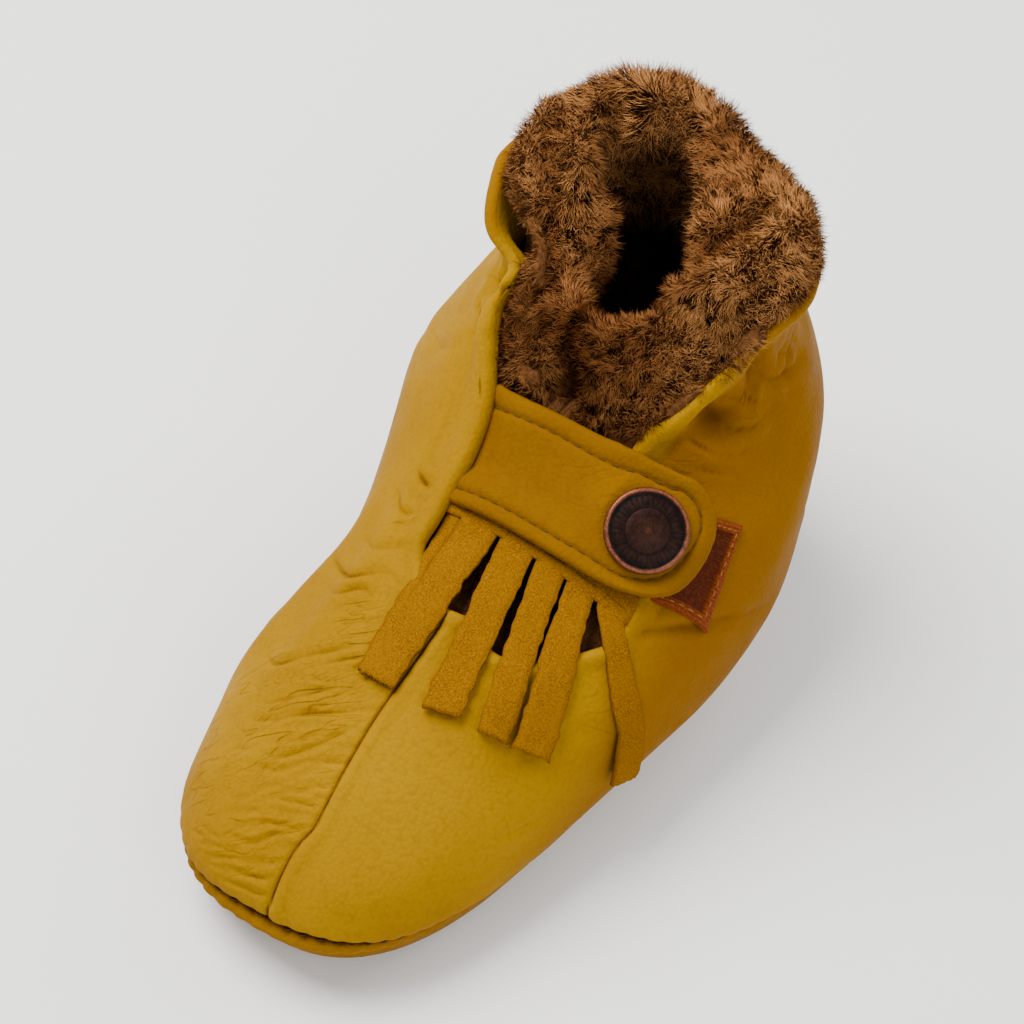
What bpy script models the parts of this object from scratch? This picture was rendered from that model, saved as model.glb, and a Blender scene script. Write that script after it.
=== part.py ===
"""Baby moccasin slipper, left foot: soft leather upper and sole, shearling lining that rolls out at the collar,
a snapped strap with a cut fringe under it, and a woven tab. One shoe, standing empty on its sole.

Metres, +Z up. The toe points to -Y, the heel to +Y, and the outer side of the foot is +X. The sizes below are in
millimetres; MM turns them into metres when a mesh is made.
"""
import math

import bmesh
import bpy
from mathutils import Vector
from mathutils.bvhtree import BVHTree
import numpy as np

MM = 0.001

# ---- named sizes, mm ------------------------------------------------------------------------------------------
LEATHER = 1.6            # upper leather
SOLE_LEATHER = 2.4       # sole leather
GAP = 0.35               # air between pieces that touch
PILE = 5.6               # shearling in the foot, hide and pile
PILE_COLLAR = 12.0       # shearling at the collar, where the pile is not trodden down
PILE_FRONT = 19.0        # and at its front, where the two lapels of fur meet
PILE_BACK = 9.5          # and at the heel, where it lies flatter
INSOLE = 5.6             # shearling footbed
TOE_SPRING = 2.6         # lift of the sole at the toe
ARCH = 1.2               # lift of the sole under the inner arch
STRAP_T = 2.4            # two layers of leather
STRAP_Y = (13.3, 18.0)   # middle of the strap: where it leaves the inner edge, and at its end
STRAP_END = 31.4         # x of its outer end
STRAP_HALF = 10.4        # half its width
STRAP_CORNER = 10.0      # length of its rounded end
STRAP_TIGHT = 0.8        # how far the strap is drawn towards straight across the throat
FRINGE_T = 1.1           # suede
SNAP_AT = (21.6, 15.9)   # middle of the snap, x and y
CAP_R, CAP_H = 7.5, 2.3  # snap cap, 15 mm across
SOCKET_R, SOCKET_H = 4.6, 1.7
SHANK_R = 1.6
TAB_T = 0.7              # woven tab

AROUND = 60              # facets round the shoe
LOW, HIGH = 8, 7         # rows of facets below and above the throat edge

# ---- the last: closed rings from the sole seam up to the collar rim ---------------------------------------------
# front, back: where the ring crosses the centre line (y).  ball, heel: half widths to the inner and outer side there.
# arch: how far the inner side draws in at the foot's waist.  zf, zm, zl, zb: height at the front, inner side, outer
# side and back.  nf, nb: fullness of the front and back halves (2 is an ellipse).  toe: how far the front leans to
# the inner side (x).
RINGS = [
    # name      front   back  ball_m ball_l heel_m heel_l  arch   zf    zm    zl    zb    nf    nb   toe
    ("seam",   -65.6,  69.5,  31.0,  31.8,  31.5,  33.5,   4.0,   9.6,  6.0,  6.2,  6.0,  2.8,  2.6, -1.5),
    ("bulge",  -67.0,  76.0,  32.6,  33.0,  40.0,  42.5,   6.5,  14.0, 17.0, 15.5, 20.0,  2.8,  2.5, -1.5),
    ("wall",   -61.6,  80.0,  30.0,  31.0,  41.0,  43.0,   7.5,  22.6, 31.0, 30.0, 36.0,  2.5,  2.4, -1.2),
    ("instep", -39.5,  80.5,  25.0,  26.5,  41.0,  41.0,   6.0,  34.6, 42.0, 41.0, 50.0,  2.2,  2.3, -0.5),
    ("throat", -14.0,  77.5,  20.0,  22.0,  36.0,  35.5,   1.5,  41.0, 53.0, 50.0, 62.0,  2.1,  2.2,  0.0),
    ("waist",    9.0,  72.0,  19.0,  19.5,  29.5,  29.5,   0.0,  49.0, 64.0, 63.0, 73.0,  2.0,  2.1,  0.0),
    ("rim",     22.0,  75.0,  28.0,  25.0,  34.5,  30.0,   0.0,  58.0, 78.5, 80.0, 84.0,  2.0,  1.9,  0.0),
]
ARCH_Y = (-30.0, -1.0, 42.0)  # where the drawing-in starts, is deepest and ends
RIM = 6.0                # ring number of the rim

# The throat, an opening in the front of the upper.  Its edges by angle, in degrees from the toe, at each ring number.
THROAT = [
    # ring  inner  outer
    (3.9,  -36.0,  72.0),
    (4.6,  -40.0,  58.0),
    (5.2,  -48.0,  44.0),
    (6.0,  -46.0,  35.0),
]
# Its lower edge is the back of the vamp: ring number by angle, all the way round so that the rows stay even.
VAMP_EDGE = [
    # angle   ring
    (-180.0,  3.6),
    (-80.0,   3.9),
    (-36.0,   4.1),
    (12.0,    4.05),
    (72.0,    3.0),
    (110.0,   3.2),
    (180.0,   3.6),
]

# ---- the fringe: strips cut from one band of suede under the strap's lower edge ---------------------------------
# root: the strip's two edges in x at the band.  tip: the same at its end, with the y and z of each edge there.
# lift: how far the end stands off.
STRIPS = [
    # name     root_a root_b  tip_ax  tip_ay  tip_az  tip_bx  tip_by  tip_bz  lift
    ("inner",  -10.2,   0.7,   -5.5,  -29.9,   37.1,    1.7,  -29.8,   37.4,  0.2),
    ("second",   1.4,   8.2,    7.6,  -29.8,   36.9,   13.7,  -27.3,   36.4,  0.3),
    ("third",    8.9,  14.7,   16.8,  -27.2,   35.4,   21.7,  -25.2,   33.4,  0.5),
    ("fourth",  15.3,  20.8,   22.4,  -25.2,   33.0,   28.0,  -22.0,   29.8,  0.8),
    ("outer",   21.4,  27.0,   34.5,  -13.6,   20.0,   36.8,   -7.6,   17.5,  1.4),
]
ROOT_Y = 2.4             # where the cuts start
BAND_Y = 7.5             # upper edge of the band, under the strap
BAND_X = (-10.6, 27.4)   # its ends

# ---- the tab: corners in x and y -------------------------------------------------------------------------------
TAB = [(26.6, 8.6), (36.9, 14.4), (33.3, 30.7), (28.3, 26.8)]


def smooth(x, a, b):
    x = min(1.0, max(0.0, (x - a) / (b - a)))
    return x * x * (3 - 2 * x)


def table(rows, x, column=1):
    """Straight-line reading of a table whose first column is x."""
    return float(np.interp(x, [r[0] for r in rows], [r[column] for r in rows]))


def ring_at(row, t):
    """The point of one ring at angle t: 0 is the toe, a quarter turn the outer side, a half turn the heel."""
    _, front, back, ball_m, ball_l, heel_m, heel_l, arch, zf, zm, zl, zb, nf, nb, toe = row
    c, s = math.cos(t), math.sin(t)
    n = nf if c > 0 else nb
    u = math.copysign(abs(c) ** (2 / n), c)
    w = math.copysign(abs(s) ** (2 / n), s)
    along = (1 - u) / 2
    y = front + (back - front) * along
    ball, heel = (ball_l, heel_l) if s > 0 else (ball_m, heel_m)
    start, deepest, end = ARCH_Y
    waist = arch * smooth(y, start, deepest) * (1 - smooth(y, deepest, end)) if s < 0 else 0
    x = w * (ball + (heel - ball) * smooth(along, 0.15, 0.75) - waist) + toe * max(0.0, u) ** 2
    side = zl if s > 0 else zm
    end = zf if c > 0 else zb
    z = side + (end - side) * smooth(abs(u), 0.0, 1.0)
    return np.array((x, y, z))


def last(t, v):
    """The outer face of the upper: a smooth curve through the rings at angle t, at ring number v."""
    rings = [ring_at(r, t) for r in RINGS]
    k = min(len(rings) - 2, max(0, int(v)))
    f = v - k
    p1, p2 = rings[k], rings[k + 1]
    p0 = rings[k - 1] if k > 0 else 2 * p1 - p2
    p3 = rings[k + 2] if k + 2 < len(rings) else 2 * p2 - p1
    return 0.5 * (2 * p1 + (p2 - p0) * f + (2 * p0 - 5 * p1 + 4 * p2 - p3) * f * f + (3 * p1 - p0 - 3 * p2 + p3) * f ** 3)


def unit(a):
    return a / np.linalg.norm(a)


def last_frame(t, v, e=2e-3):
    """Point, outward normal and upward tangent of the last."""
    up = unit(last(t, min(RIM, v + e)) - last(t, max(0.0, v - e)))
    side = last(t + e, v) - last(t - e, v)
    return last(t, v), unit(np.cross(side, up)), up


# ---- building closed solids from grids of points ----------------------------------------------------------------
def material(name, colour, roughness, metallic=0.0):
    made = bpy.data.materials.new(name)
    made.use_nodes = True
    shader = made.node_tree.nodes["Principled BSDF"]
    shader.inputs["Base Color"].default_value = (*colour, 1)
    shader.inputs["Roughness"].default_value = roughness
    shader.inputs["Metallic"].default_value = metallic
    made.diffuse_color = (*colour, 1)
    return made


def add_object(name, mesh_maker, made_of):
    bm = bmesh.new()
    mesh_maker(bm)
    bmesh.ops.remove_doubles(bm, verts=bm.verts, dist=1e-7)
    bmesh.ops.recalc_face_normals(bm, faces=bm.faces)
    mesh = bpy.data.meshes.new(name)
    bm.to_mesh(mesh)
    bm.free()
    mesh.materials.append(made_of)
    obj = bpy.data.objects.new(name, mesh)
    bpy.context.scene.collection.objects.link(obj)
    return obj


def shell(outer, inner, keep=None, closed=False):
    """Fills the space between two grids, [row][column], in the cells that keep holds.  closed joins the last column
    to the first.  Every edge that only one kept cell has is walled."""
    rows, cols = len(outer), len(outer[0])
    wide = cols if closed else cols - 1
    cells = {(i, j) for i in range(rows - 1) for j in range(wide) if keep is None or keep(i, j)}

    def make(bm):
        points = {}

        def at(side, i, j):
            key = (side, i, j % cols)
            if key not in points:
                points[key] = bm.verts.new(Vector((outer, inner)[side][i][j % cols]) * MM)
            return points[key]

        for i, j in cells:
            for side in (0, 1):
                loop = [at(side, i, j), at(side, i, j + 1), at(side, i + 1, j + 1), at(side, i + 1, j)]
                bm.faces.new(loop if side == 0 else loop[::-1])
            for (di, dj), (a, b) in {
                (-1, 0): ((0, 1), (0, 0)),
                (1, 0): ((1, 0), (1, 1)),
                (0, -1): ((0, 0), (1, 0)),
                (0, 1): ((1, 1), (0, 1)),
            }.items():
                side_j = (j + dj) % cols if closed else j + dj
                if (i + di, side_j) not in cells:
                    p, q = (i + a[0], j + a[1]), (i + b[0], j + b[1])
                    bm.faces.new([at(0, *p), at(0, *q), at(1, *q), at(1, *p)])

    return make


def rungs(bm, ring, flip=False):
    """Closes a ring of an even number of points with strips across it."""
    n = len(ring)
    for j in range(n // 2):
        loop = [ring[j], ring[j + 1], ring[(n - j - 1) % n], ring[(n - j) % n]]
        loop = list(dict.fromkeys(loop))
        bm.faces.new(loop[::-1] if flip else loop)


def lathe(profile, centre, axis, around=28):
    """A turned solid.  profile: (radius, height) from the bottom of the axis to its top, radius 0 at both ends."""
    axis = Vector(axis).normalized()
    u = axis.orthogonal().normalized()
    v = axis.cross(u)
    centre = Vector(centre)

    def make(bm):
        rows = []
        for r, h in profile:
            if r == 0:
                rows.append([bm.verts.new((centre + axis * h) * MM)])
                continue
            turn = [2 * math.pi * k / around for k in range(around)]
            rows.append([bm.verts.new((centre + axis * h + (u * math.cos(a) + v * math.sin(a)) * r) * MM) for a in turn])
        for low, high in zip(rows, rows[1:]):
            for k in range(around):
                loop = [low[k % len(low)], low[(k + 1) % len(low)], high[(k + 1) % len(high)], high[k % len(high)]]
                bm.faces.new(list(dict.fromkeys(loop)))

    return make


# ---- the upper -------------------------------------------------------------------------------------------------
INNER_COL = round(-36 / (360 / AROUND))
OUTER_COL = round(72 / (360 / AROUND))


def upper_place(i, j):
    """Angle and ring number of grid point i, j of the upper.  The throat's edges lie on two columns."""
    step = 360 / AROUND
    deg = j * step
    deg = deg - 360 if deg > 180 else deg
    edge = table(VAMP_EDGE, deg)
    if i <= LOW:
        return math.radians(deg), edge * i / LOW
    v = edge + (RIM - edge) * (i - LOW) / HIGH
    if deg >= OUTER_COL * step:
        start = OUTER_COL * step
        shift = (table(THROAT, v, 2) - start) * (180 - deg) / (180 - start)
    elif deg <= INNER_COL * step:
        start = INNER_COL * step
        shift = (table(THROAT, v, 1) - start) * (180 + deg) / (180 + start)
    else:
        shift = 0
    return math.radians(deg + shift), v


def upper_keep(i, j):
    mid = j + 0.5 if j + 0.5 < AROUND / 2 else j + 0.5 - AROUND
    return i < LOW or not INNER_COL < mid < OUTER_COL


def build_upper():
    outer, inner = [], []
    for i in range(LOW + HIGH + 1):
        outer.append([])
        inner.append([])
        for j in range(AROUND):
            p, n, _ = last_frame(*upper_place(i, j))
            outer[-1].append(p)
            inner[-1].append(p - n * LEATHER)
    return shell(outer, inner, upper_keep, closed=True)


# ---- the sole: a tray of soft leather, its edge turned up to the seam ---------------------------------------------
def ground(x, y):
    """Lift of the underside: flat under the ball and the heel, sprung at the toe, and raised under the inner arch."""
    spring = TOE_SPRING * smooth(-y, 40, 66) ** 1.3
    arch = ARCH * smooth(y, -8, 8) * (1 - smooth(y, 14, 30)) * smooth(-x, 16, 26)
    return spring + arch


# inset: how far the ring lies inside the seam line.  share: its height as a share of the seam's height there.
SOLE_RINGS = [
    # name     inset  share
    ("edge",    0.25, 0.90),
    ("rand",    0.9,  0.55),
    ("turn",    3.2,  0.16),
    ("tread",   7.0,  0.00),
    ("middle", 16.0,  0.00),
]


def sole_ring(inset, share, lift=0.0):
    points = []
    for j in range(AROUND):
        t = 2 * math.pi * j / AROUND
        p = ring_at(RINGS[0], t)
        q, r = ring_at(RINGS[0], t + 1e-3), ring_at(RINGS[0], t - 1e-3)
        across = unit(np.array((q[1] - r[1], r[0] - q[0], 0.0)))
        foot = p + across * -inset if (across[:2] @ (p[:2] - np.array((0, 0)))) > 0 else p + across * inset
        z = ground(foot[0], foot[1])
        points.append(np.array((foot[0], foot[1], z + (p[2] - z) * share + lift)))
    return points


def build_sole():
    under = [sole_ring(inset, share) for _, inset, share in SOLE_RINGS]
    top = []
    for k, (_, inset, share) in enumerate(SOLE_RINGS):
        # the edge is as thick inward as the middle is upward
        lean = (1.0, 0.95, 0.6, 0.0, 0.0)[k]
        rise = (0.0, 0.15, 0.75, 1.0, 1.0)[k]
        top.append(sole_ring(inset + SOLE_LEATHER * lean * 0.8, share, SOLE_LEATHER * rise))

    def make(bm):
        grids = [[[bm.verts.new(Vector(p) * MM) for p in ring] for ring in side] for side in (under, top)]
        for side, flip in ((grids[0], True), (grids[1], False)):
            for a, b in zip(side, side[1:]):
                for j in range(AROUND):
                    loop = [a[j], a[(j + 1) % AROUND], b[(j + 1) % AROUND], b[j]]
                    bm.faces.new(loop[::-1] if flip else loop)
            rungs(bm, side[-1], flip)
        a, b = grids[0][0], grids[1][0]
        for j in range(AROUND):
            bm.faces.new([a[j], a[(j + 1) % AROUND], b[(j + 1) % AROUND], b[j]])

    return make


INSOLE_TOP = SOLE_LEATHER + GAP + INSOLE


def build_insole():
    inset = 0.9 + SOLE_LEATHER * 0.8 + GAP + 0.4
    rows = [  # inset, height over the sole's inside
        (inset + 3.2, 0.0),
        (inset + 0.4, 1.6),
        (inset, 3.0),
        (inset + 0.3, INSOLE - 0.9),
        (inset + 2.0, INSOLE),
        (inset + 12.0, INSOLE),
    ]
    floor = SOLE_LEATHER + GAP

    def make(bm):
        rings = []
        for inset_k, h in rows:
            rings.append([bm.verts.new(Vector((p[0], p[1], ground(p[0], p[1]) + floor + h)) * MM) for p in sole_ring(inset_k, 0)])
        start = [bm.verts.new(Vector((p[0], p[1], ground(p[0], p[1]) + floor)) * MM) for p in sole_ring(inset + 12.0, 0)]
        rings.insert(0, start)
        for a, b in zip(rings, rings[1:]):
            for j in range(AROUND):
                bm.faces.new([a[j], a[(j + 1) % AROUND], b[(j + 1) % AROUND], b[j]])
        rungs(bm, rings[0], True)
        rungs(bm, rings[-1])

    return make


# ---- the shearling: walls inside the upper, and a roll of pile over the rim -----------------------------------------
LINING_AROUND, LINING_ROWS = 48, 14
# The roll's section above the rim, from the leather's inside over the top and down to the inner face.
ROLL = [
    # inward (share of the pile)  upward (mm)
    (0.0,    1.2),
    (-0.14,  2.0),
    (-0.18,  3.6),
    (-0.03,  6.0),
    (0.29,   7.2),
    (0.64,   6.2),
    (0.90,   3.0),
]
COLLAR_MIDDLE = 50.0     # y of the middle of the collar, which the pile leans towards


def pile_depth(t, v):
    """Depth of hide and pile together."""
    collar = PILE_COLLAR + (PILE_FRONT - PILE_COLLAR) * smooth(math.cos(t), 0.3, 1.0)
    collar += (PILE_BACK - PILE_COLLAR) * smooth(-math.cos(t), 0.3, 1.0)
    return PILE + (collar - PILE) * smooth(v, 4.0, 5.7)


def pile_frame(t, v):
    """Point of the last, the leather's normal, and the way that the pile stands, reversed.  In the collar the pile
    turns from the leather's normal towards the middle of the opening."""
    p, n, up = last_frame(t, v)
    radial = unit(p - np.array((0.0, COLLAR_MIDDLE, p[2])))
    turn = smooth(v, 3.6, 5.2)
    return p, n, unit(n * (1 - turn) + unit(radial + 0.35 * n) * turn), up


def ring_at_height(t, z):
    """Ring number where the last reaches height z at angle t."""
    low, high = 0.0, 3.0
    for _ in range(30):
        mid = (low + high) / 2
        low, high = (mid, high) if last(t, mid)[2] < z else (low, mid)
    return (low + high) / 2


def build_lining():
    outer, inner = [], []
    for i in range(LINING_ROWS + 1):
        outer.append([])
        inner.append([])
        for j in range(LINING_AROUND):
            t = 2 * math.pi * j / LINING_AROUND
            foot = ring_at(RINGS[0], t)
            start = INSOLE_TOP + GAP + 0.1 + max(ground(foot[0], foot[1]), ground(foot[0] * 0.75, foot[1] * 0.9))
            v0 = ring_at_height(t, start)
            v = v0 + (RIM - 0.08 - v0) * i / LINING_ROWS
            p, n, stand, _ = pile_frame(t, v)
            a = p - n * (LEATHER + GAP)
            b = a - stand * pile_depth(t, v)
            b[2] = max(b[2], start + 0.2 * i)  # the pile stands on the footbed
            outer[-1].append(a)
            inner[-1].append(b)
    roll = []
    for inward, upward in ROLL:
        roll.append([])
        for j in range(LINING_AROUND):
            t = 2 * math.pi * j / LINING_AROUND
            deg = math.degrees(t) if t < math.pi else math.degrees(t) - 360
            throat = 1 - smooth(abs(deg + 7), 38, 62)  # no overhang where the leather stops
            p, _, stand, up = pile_frame(t, RIM)
            share = inward + (max(inward, 0.02) - inward) * throat
            roll[-1].append(p - stand * (LEATHER + GAP + share * pile_depth(t, RIM)) + up * upward)
    loops = outer + roll + inner[::-1]

    def make(bm):
        rings = [[bm.verts.new(Vector(p) * MM) for p in ring] for ring in loops]
        for a, b in zip(rings, rings[1:] + rings[:1]):
            for j in range(LINING_AROUND):
                k = (j + 1) % LINING_AROUND
                bm.faces.new([a[j], a[k], b[k], b[j]])

    return make


# ---- pieces that lie on the upper, drawn in plan and dropped onto it ------------------------------------------------
def last_tree():
    """The last as a search tree, with 8 mm more above the rim for what stands over it."""
    cols, rows = 144, 72
    ts = [2 * math.pi * j / cols for j in range(cols)]
    points = [Vector(last(t, RIM * i / rows)) for i in range(rows + 1) for t in ts]
    for t in ts:
        p, _, up = last_frame(t, RIM)
        points.append(Vector(p + up * 8.0))
    faces = [
        (i * cols + j, i * cols + (j + 1) % cols, (i + 1) * cols + (j + 1) % cols, (i + 1) * cols + j)
        for i in range(rows + 1)
        for j in range(cols)
    ]
    return BVHTree.FromPolygons(points, faces)


TREE = last_tree()


def over(x, y, off=0.0):
    """The point above x, y that stands off the last by off, and the way up from it."""
    hit, normal, _, _ = TREE.ray_cast(Vector((x, y, 300.0)), Vector((0, 0, -1)))
    total = Vector((0, 0, 0))
    for dx, dy in ((0, 0), (2, 0), (-2, 0), (0, 2), (0, -2)):
        near = TREE.ray_cast(Vector((x + dx, y + dy, 300.0)), Vector((0, 0, -1)))
        if near[0] is not None:
            total += near[1] if near[1].z > 0 else -near[1]
    up = np.array(total.normalized())
    return np.array(hit) + up * off, up


def beside(p, off=0.0):
    """The point of the last nearest to p, standing off by off, and the way out from it."""
    hit, _, face, _ = TREE.find_nearest(Vector(p))
    total = Vector((0, 0, 0))
    for step in ((0, 0, 0), (1.5, 0, 0), (-1.5, 0, 0), (0, 1.5, 0), (0, -1.5, 0), (0, 0, 1.5), (0, 0, -1.5)):
        normal = TREE.find_nearest(hit + Vector(step))[1]
        total += normal if normal.dot(hit - Vector((0, hit.y, 20))) > 0 else -normal
    up = np.array(total.normalized())
    return np.array(hit) + up * off, up


def strap_off(x, y):
    """Height of the strap's underside over the last: low in the throat, over the fringe at its lower edge, and
    up on the tab and the snap's socket at its end."""
    base = -1.3 + 3.3 * smooth(x, 2.0, 14.0) + 0.75 * smooth(x, 14.0, 22.0)
    fringe = (1 - smooth(y, BAND_Y + 0.5, BAND_Y + 4.0)) * (1.6 - 1.3 * smooth(x, 4.0, 14.0))
    return base + fringe


def strap_middle(x):
    return STRAP_Y[0] + (STRAP_Y[1] - STRAP_Y[0]) * smooth(x, 8.0, STRAP_END)


SNAP_POINT, SNAP_AXIS = over(*SNAP_AT)
SNAP_BASE = SNAP_POINT + SNAP_AXIS * strap_off(*SNAP_AT)


def inner_edge(y):
    """x of the throat's inner edge at station y."""
    edge = [last(*upper_place(i, INNER_COL)) for i in range(LOW, LOW + HIGH + 1)]
    return float(np.interp(y, [p[1] for p in edge], [p[0] for p in edge]))


def pulled_tight(row):
    """Heights of a row of points on the strap once it is drawn tight: most of the way up to the straight lines
    between the points that hold it up."""
    xs, zs = [p[0] for p in row], [p[2] for p in row]
    lifted = []
    for i, (x, z) in enumerate(zip(xs, zs)):
        over_it = [z]
        for a in range(i):
            for b in range(i + 1, len(xs)):
                share = (x - xs[a]) / (xs[b] - xs[a])
                over_it.append(zs[a] + (zs[b] - zs[a]) * share)
        lifted.append(z + STRAP_TIGHT * (max(over_it) - z))
    return lifted


def build_strap():
    steps, across = 18, 8
    low = [[None] * (across + 1) for _ in range(steps + 1)]
    ups = [[None] * (across + 1) for _ in range(steps + 1)]
    for i in range(steps + 1):
        f = i / steps
        g = 1 - (1 - f) ** 1.25
        middle = -13.0 * (1 - g) + STRAP_END * g
        into = max(0.0, (middle - (STRAP_END - STRAP_CORNER)) / STRAP_CORNER)
        half = STRAP_HALF * max(0.42, (1 - min(1.0, into) ** 2.6) ** (1 / 2.6))
        for k in range(across + 1):
            y = strap_middle(middle) + half * (2 * k / across - 1)
            x = (inner_edge(y) + 0.5) * (1 - g) + STRAP_END * g
            low[i][k], ups[i][k] = over(x, y, strap_off(x, y))
    for k in range(across + 1):
        heights = pulled_tight([low[i][k] for i in range(steps + 1)])
        for i in range(steps + 1):
            low[i][k] = np.array((low[i][k][0], low[i][k][1], heights[i]))
    outer, inner = [], []
    for i in range(steps + 1):
        outer.append([])
        inner.append([])
        for k in range(across + 1):
            p, up = low[i][k], ups[i][k]
            flat = 1 - smooth(math.hypot(p[0] - SNAP_AT[0], p[1] - SNAP_AT[1]), 7.5, 11.0)
            rise = float((SNAP_BASE - p) @ SNAP_AXIS)
            p = p + SNAP_AXIS * rise * flat
            up = unit(up * (1 - flat) + SNAP_AXIS * flat)
            inner[-1].append(p)
            outer[-1].append(p + up * STRAP_T)
    return shell(outer, inner)


def fringe_off(x, y):
    """Height of the fringe's underside over the last: low under the strap in the throat, then out over the vamp."""
    base = -1.0 + 1.35 * smooth(x, 2.0, 13.0)
    return max(base, 0.35) if y < -8 else base + (0.4 - base) * (1 - smooth(y, -9.0, 0.0))


def build_fringe():
    cuts = {x for _, a, b, *_ in STRIPS for x in (a, b)} | set(BAND_X)
    rows = [BAND_Y, (BAND_Y + ROOT_Y) / 2 + 0.4, ROOT_Y]

    def strip(root_a, root_b, tip_a, tip_b, lift, count=7):
        """A strip between two straight edges laid over the last."""
        outer, inner = [], []
        for i in range(count + 1):
            f = i / count
            outer.append([])
            inner.append([])
            for g in (0.0, 0.5, 1.0):
                x = root_a * (1 - g) + root_b * g
                root, up = over(x, ROOT_Y, fringe_off(x, ROOT_Y))
                if i:
                    on_last, _ = over(x, ROOT_Y)
                    guess = on_last * (1 - f) + (tip_a * (1 - g) + tip_b * g) * f
                    on_last, up = beside(guess)
                    root = on_last + up * (fringe_off(on_last[0], on_last[1]) + lift * smooth(f, 0.25, 1.0))
                inner[-1].append(root)
                outer[-1].append(root + up * FRINGE_T)
        return outer, inner

    def make(bm):
        # one grid for the band; each strip continues the band's own lower points
        outer, inner = [], []
        xs = sorted(cuts | {(a + b) / 2 for _, a, b, *_ in STRIPS})
        for y in rows:
            pts = [over(x, y, fringe_off(x, y)) for x in xs]
            inner.append([p for p, _ in pts])
            outer.append([p + up * FRINGE_T for p, up in pts])
        shell(outer, inner)(bm)
        for _, ra, rb, *tip, lift in STRIPS:
            shell(*strip(ra, rb, np.array(tip[:3]), np.array(tip[3:]), lift))(bm)
        bmesh.ops.remove_doubles(bm, verts=bm.verts, dist=1e-6)
        # where a strip meets the band their end walls lie inside: take them away
        walls = [f for f in bm.faces if sum(len(e.link_faces) > 2 for e in f.edges) > 2]
        bmesh.ops.delete(bm, geom=walls, context="FACES_ONLY")

    return make


def build_tab():
    outer, inner = [], []
    corners = [np.array(c) for c in TAB]
    for i in range(7):
        outer.append([])
        inner.append([])
        for k in range(5):
            f, g = i / 6, k / 4
            x, y = (corners[0] * (1 - f) + corners[3] * f) * (1 - g) + (corners[1] * (1 - f) + corners[2] * f) * g
            p, up = over(x, y, GAP)
            inner[-1].append(p)
            outer[-1].append(p + up * TAB_T)
    return shell(outer, inner)


def build_snap():
    """The snap as fastened: socket under the strap, shank through it, and a shallow rolled cap on top."""
    top = STRAP_T + GAP
    profile = [
        (0, -SOCKET_H - GAP),
        (SOCKET_R - 0.4, -SOCKET_H - GAP),
        (SOCKET_R, -SOCKET_H - GAP + 0.4),
        (SOCKET_R, -GAP - 0.3),
        (SOCKET_R - 0.3, -GAP),
        (SHANK_R, -GAP),
        (SHANK_R, top),
        (CAP_R - 0.9, top),
        (CAP_R - 0.15, top + 0.3),
        (CAP_R, top + 0.9),
        (CAP_R - 0.35, top + 1.5),
        (CAP_R - 1.2, top + 1.65),
        (CAP_R - 1.8, top + 1.45),
        (CAP_R - 3.6, top + CAP_H - 0.25),
        (0, top + CAP_H),
    ]
    return lathe(profile, SNAP_BASE, SNAP_AXIS)


def cut_hole(obj, radius, centre, axis, length):
    """A round hole through obj, by a Boolean with a hidden cylinder."""
    bpy.ops.mesh.primitive_cylinder_add(vertices=24, radius=radius * MM, depth=length * MM)
    cutter = bpy.context.object
    cutter.name = obj.name + "_hole"
    cutter.location = Vector(centre) * MM
    cutter.rotation_mode = "QUATERNION"
    cutter.rotation_quaternion = Vector((0, 0, 1)).rotation_difference(Vector(axis))
    cutter.hide_render = True
    cutter.display_type = "WIRE"
    modifier = obj.modifiers.new("hole", "BOOLEAN")
    modifier.operation = "DIFFERENCE"
    modifier.solver = "EXACT"
    modifier.object = cutter


def main():
    for obj in list(bpy.data.objects):
        bpy.data.objects.remove(obj, do_unlink=True)
    hide = material("deerskin", (0.62, 0.36, 0.035), 0.45)
    sole_hide = material("sole_deerskin", (0.56, 0.31, 0.03), 0.6)
    fleece = material("shearling", (0.26, 0.13, 0.065), 0.95)
    footbed = material("shearling_footbed", (0.2, 0.1, 0.05), 0.95)
    suede = material("suede", (0.5, 0.27, 0.035), 0.85)
    strap_hide = material("strap_deerskin", (0.62, 0.36, 0.035), 0.45)
    copper = material("antique_copper", (0.2, 0.09, 0.06), 0.4, 0.9)
    woven = material("woven_tape", (0.3, 0.1, 0.02), 0.8)

    add_object("outsole", build_sole(), sole_hide)
    add_object("insole", build_insole(), footbed)
    add_object("upper", build_upper(), hide)
    add_object("shearling_lining", build_lining(), fleece)
    strap = add_object("strap", build_strap(), strap_hide)
    add_object("fringe", build_fringe(), suede)
    add_object("label_tab", build_tab(), woven)
    add_object("snap_fastener", build_snap(), copper)
    cut_hole(strap, SHANK_R + GAP, SNAP_BASE, SNAP_AXIS, 12.0)


main()
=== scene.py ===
import math

import bmesh
import bpy
from mathutils import Matrix, Vector
from mathutils.bvhtree import BVHTree
from mathutils.kdtree import KDTree
import numpy as np


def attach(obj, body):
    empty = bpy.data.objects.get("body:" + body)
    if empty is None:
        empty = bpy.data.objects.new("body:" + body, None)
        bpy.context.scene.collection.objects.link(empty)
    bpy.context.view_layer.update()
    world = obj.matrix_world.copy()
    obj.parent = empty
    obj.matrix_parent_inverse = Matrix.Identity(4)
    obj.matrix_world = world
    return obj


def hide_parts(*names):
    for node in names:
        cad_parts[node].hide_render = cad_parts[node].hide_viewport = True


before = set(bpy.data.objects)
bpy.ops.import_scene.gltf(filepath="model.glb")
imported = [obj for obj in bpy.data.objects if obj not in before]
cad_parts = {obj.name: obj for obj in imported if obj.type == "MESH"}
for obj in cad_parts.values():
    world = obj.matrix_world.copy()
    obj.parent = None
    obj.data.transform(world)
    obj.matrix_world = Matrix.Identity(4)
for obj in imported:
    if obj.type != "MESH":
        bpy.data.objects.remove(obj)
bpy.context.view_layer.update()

MM = 0.001
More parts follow.
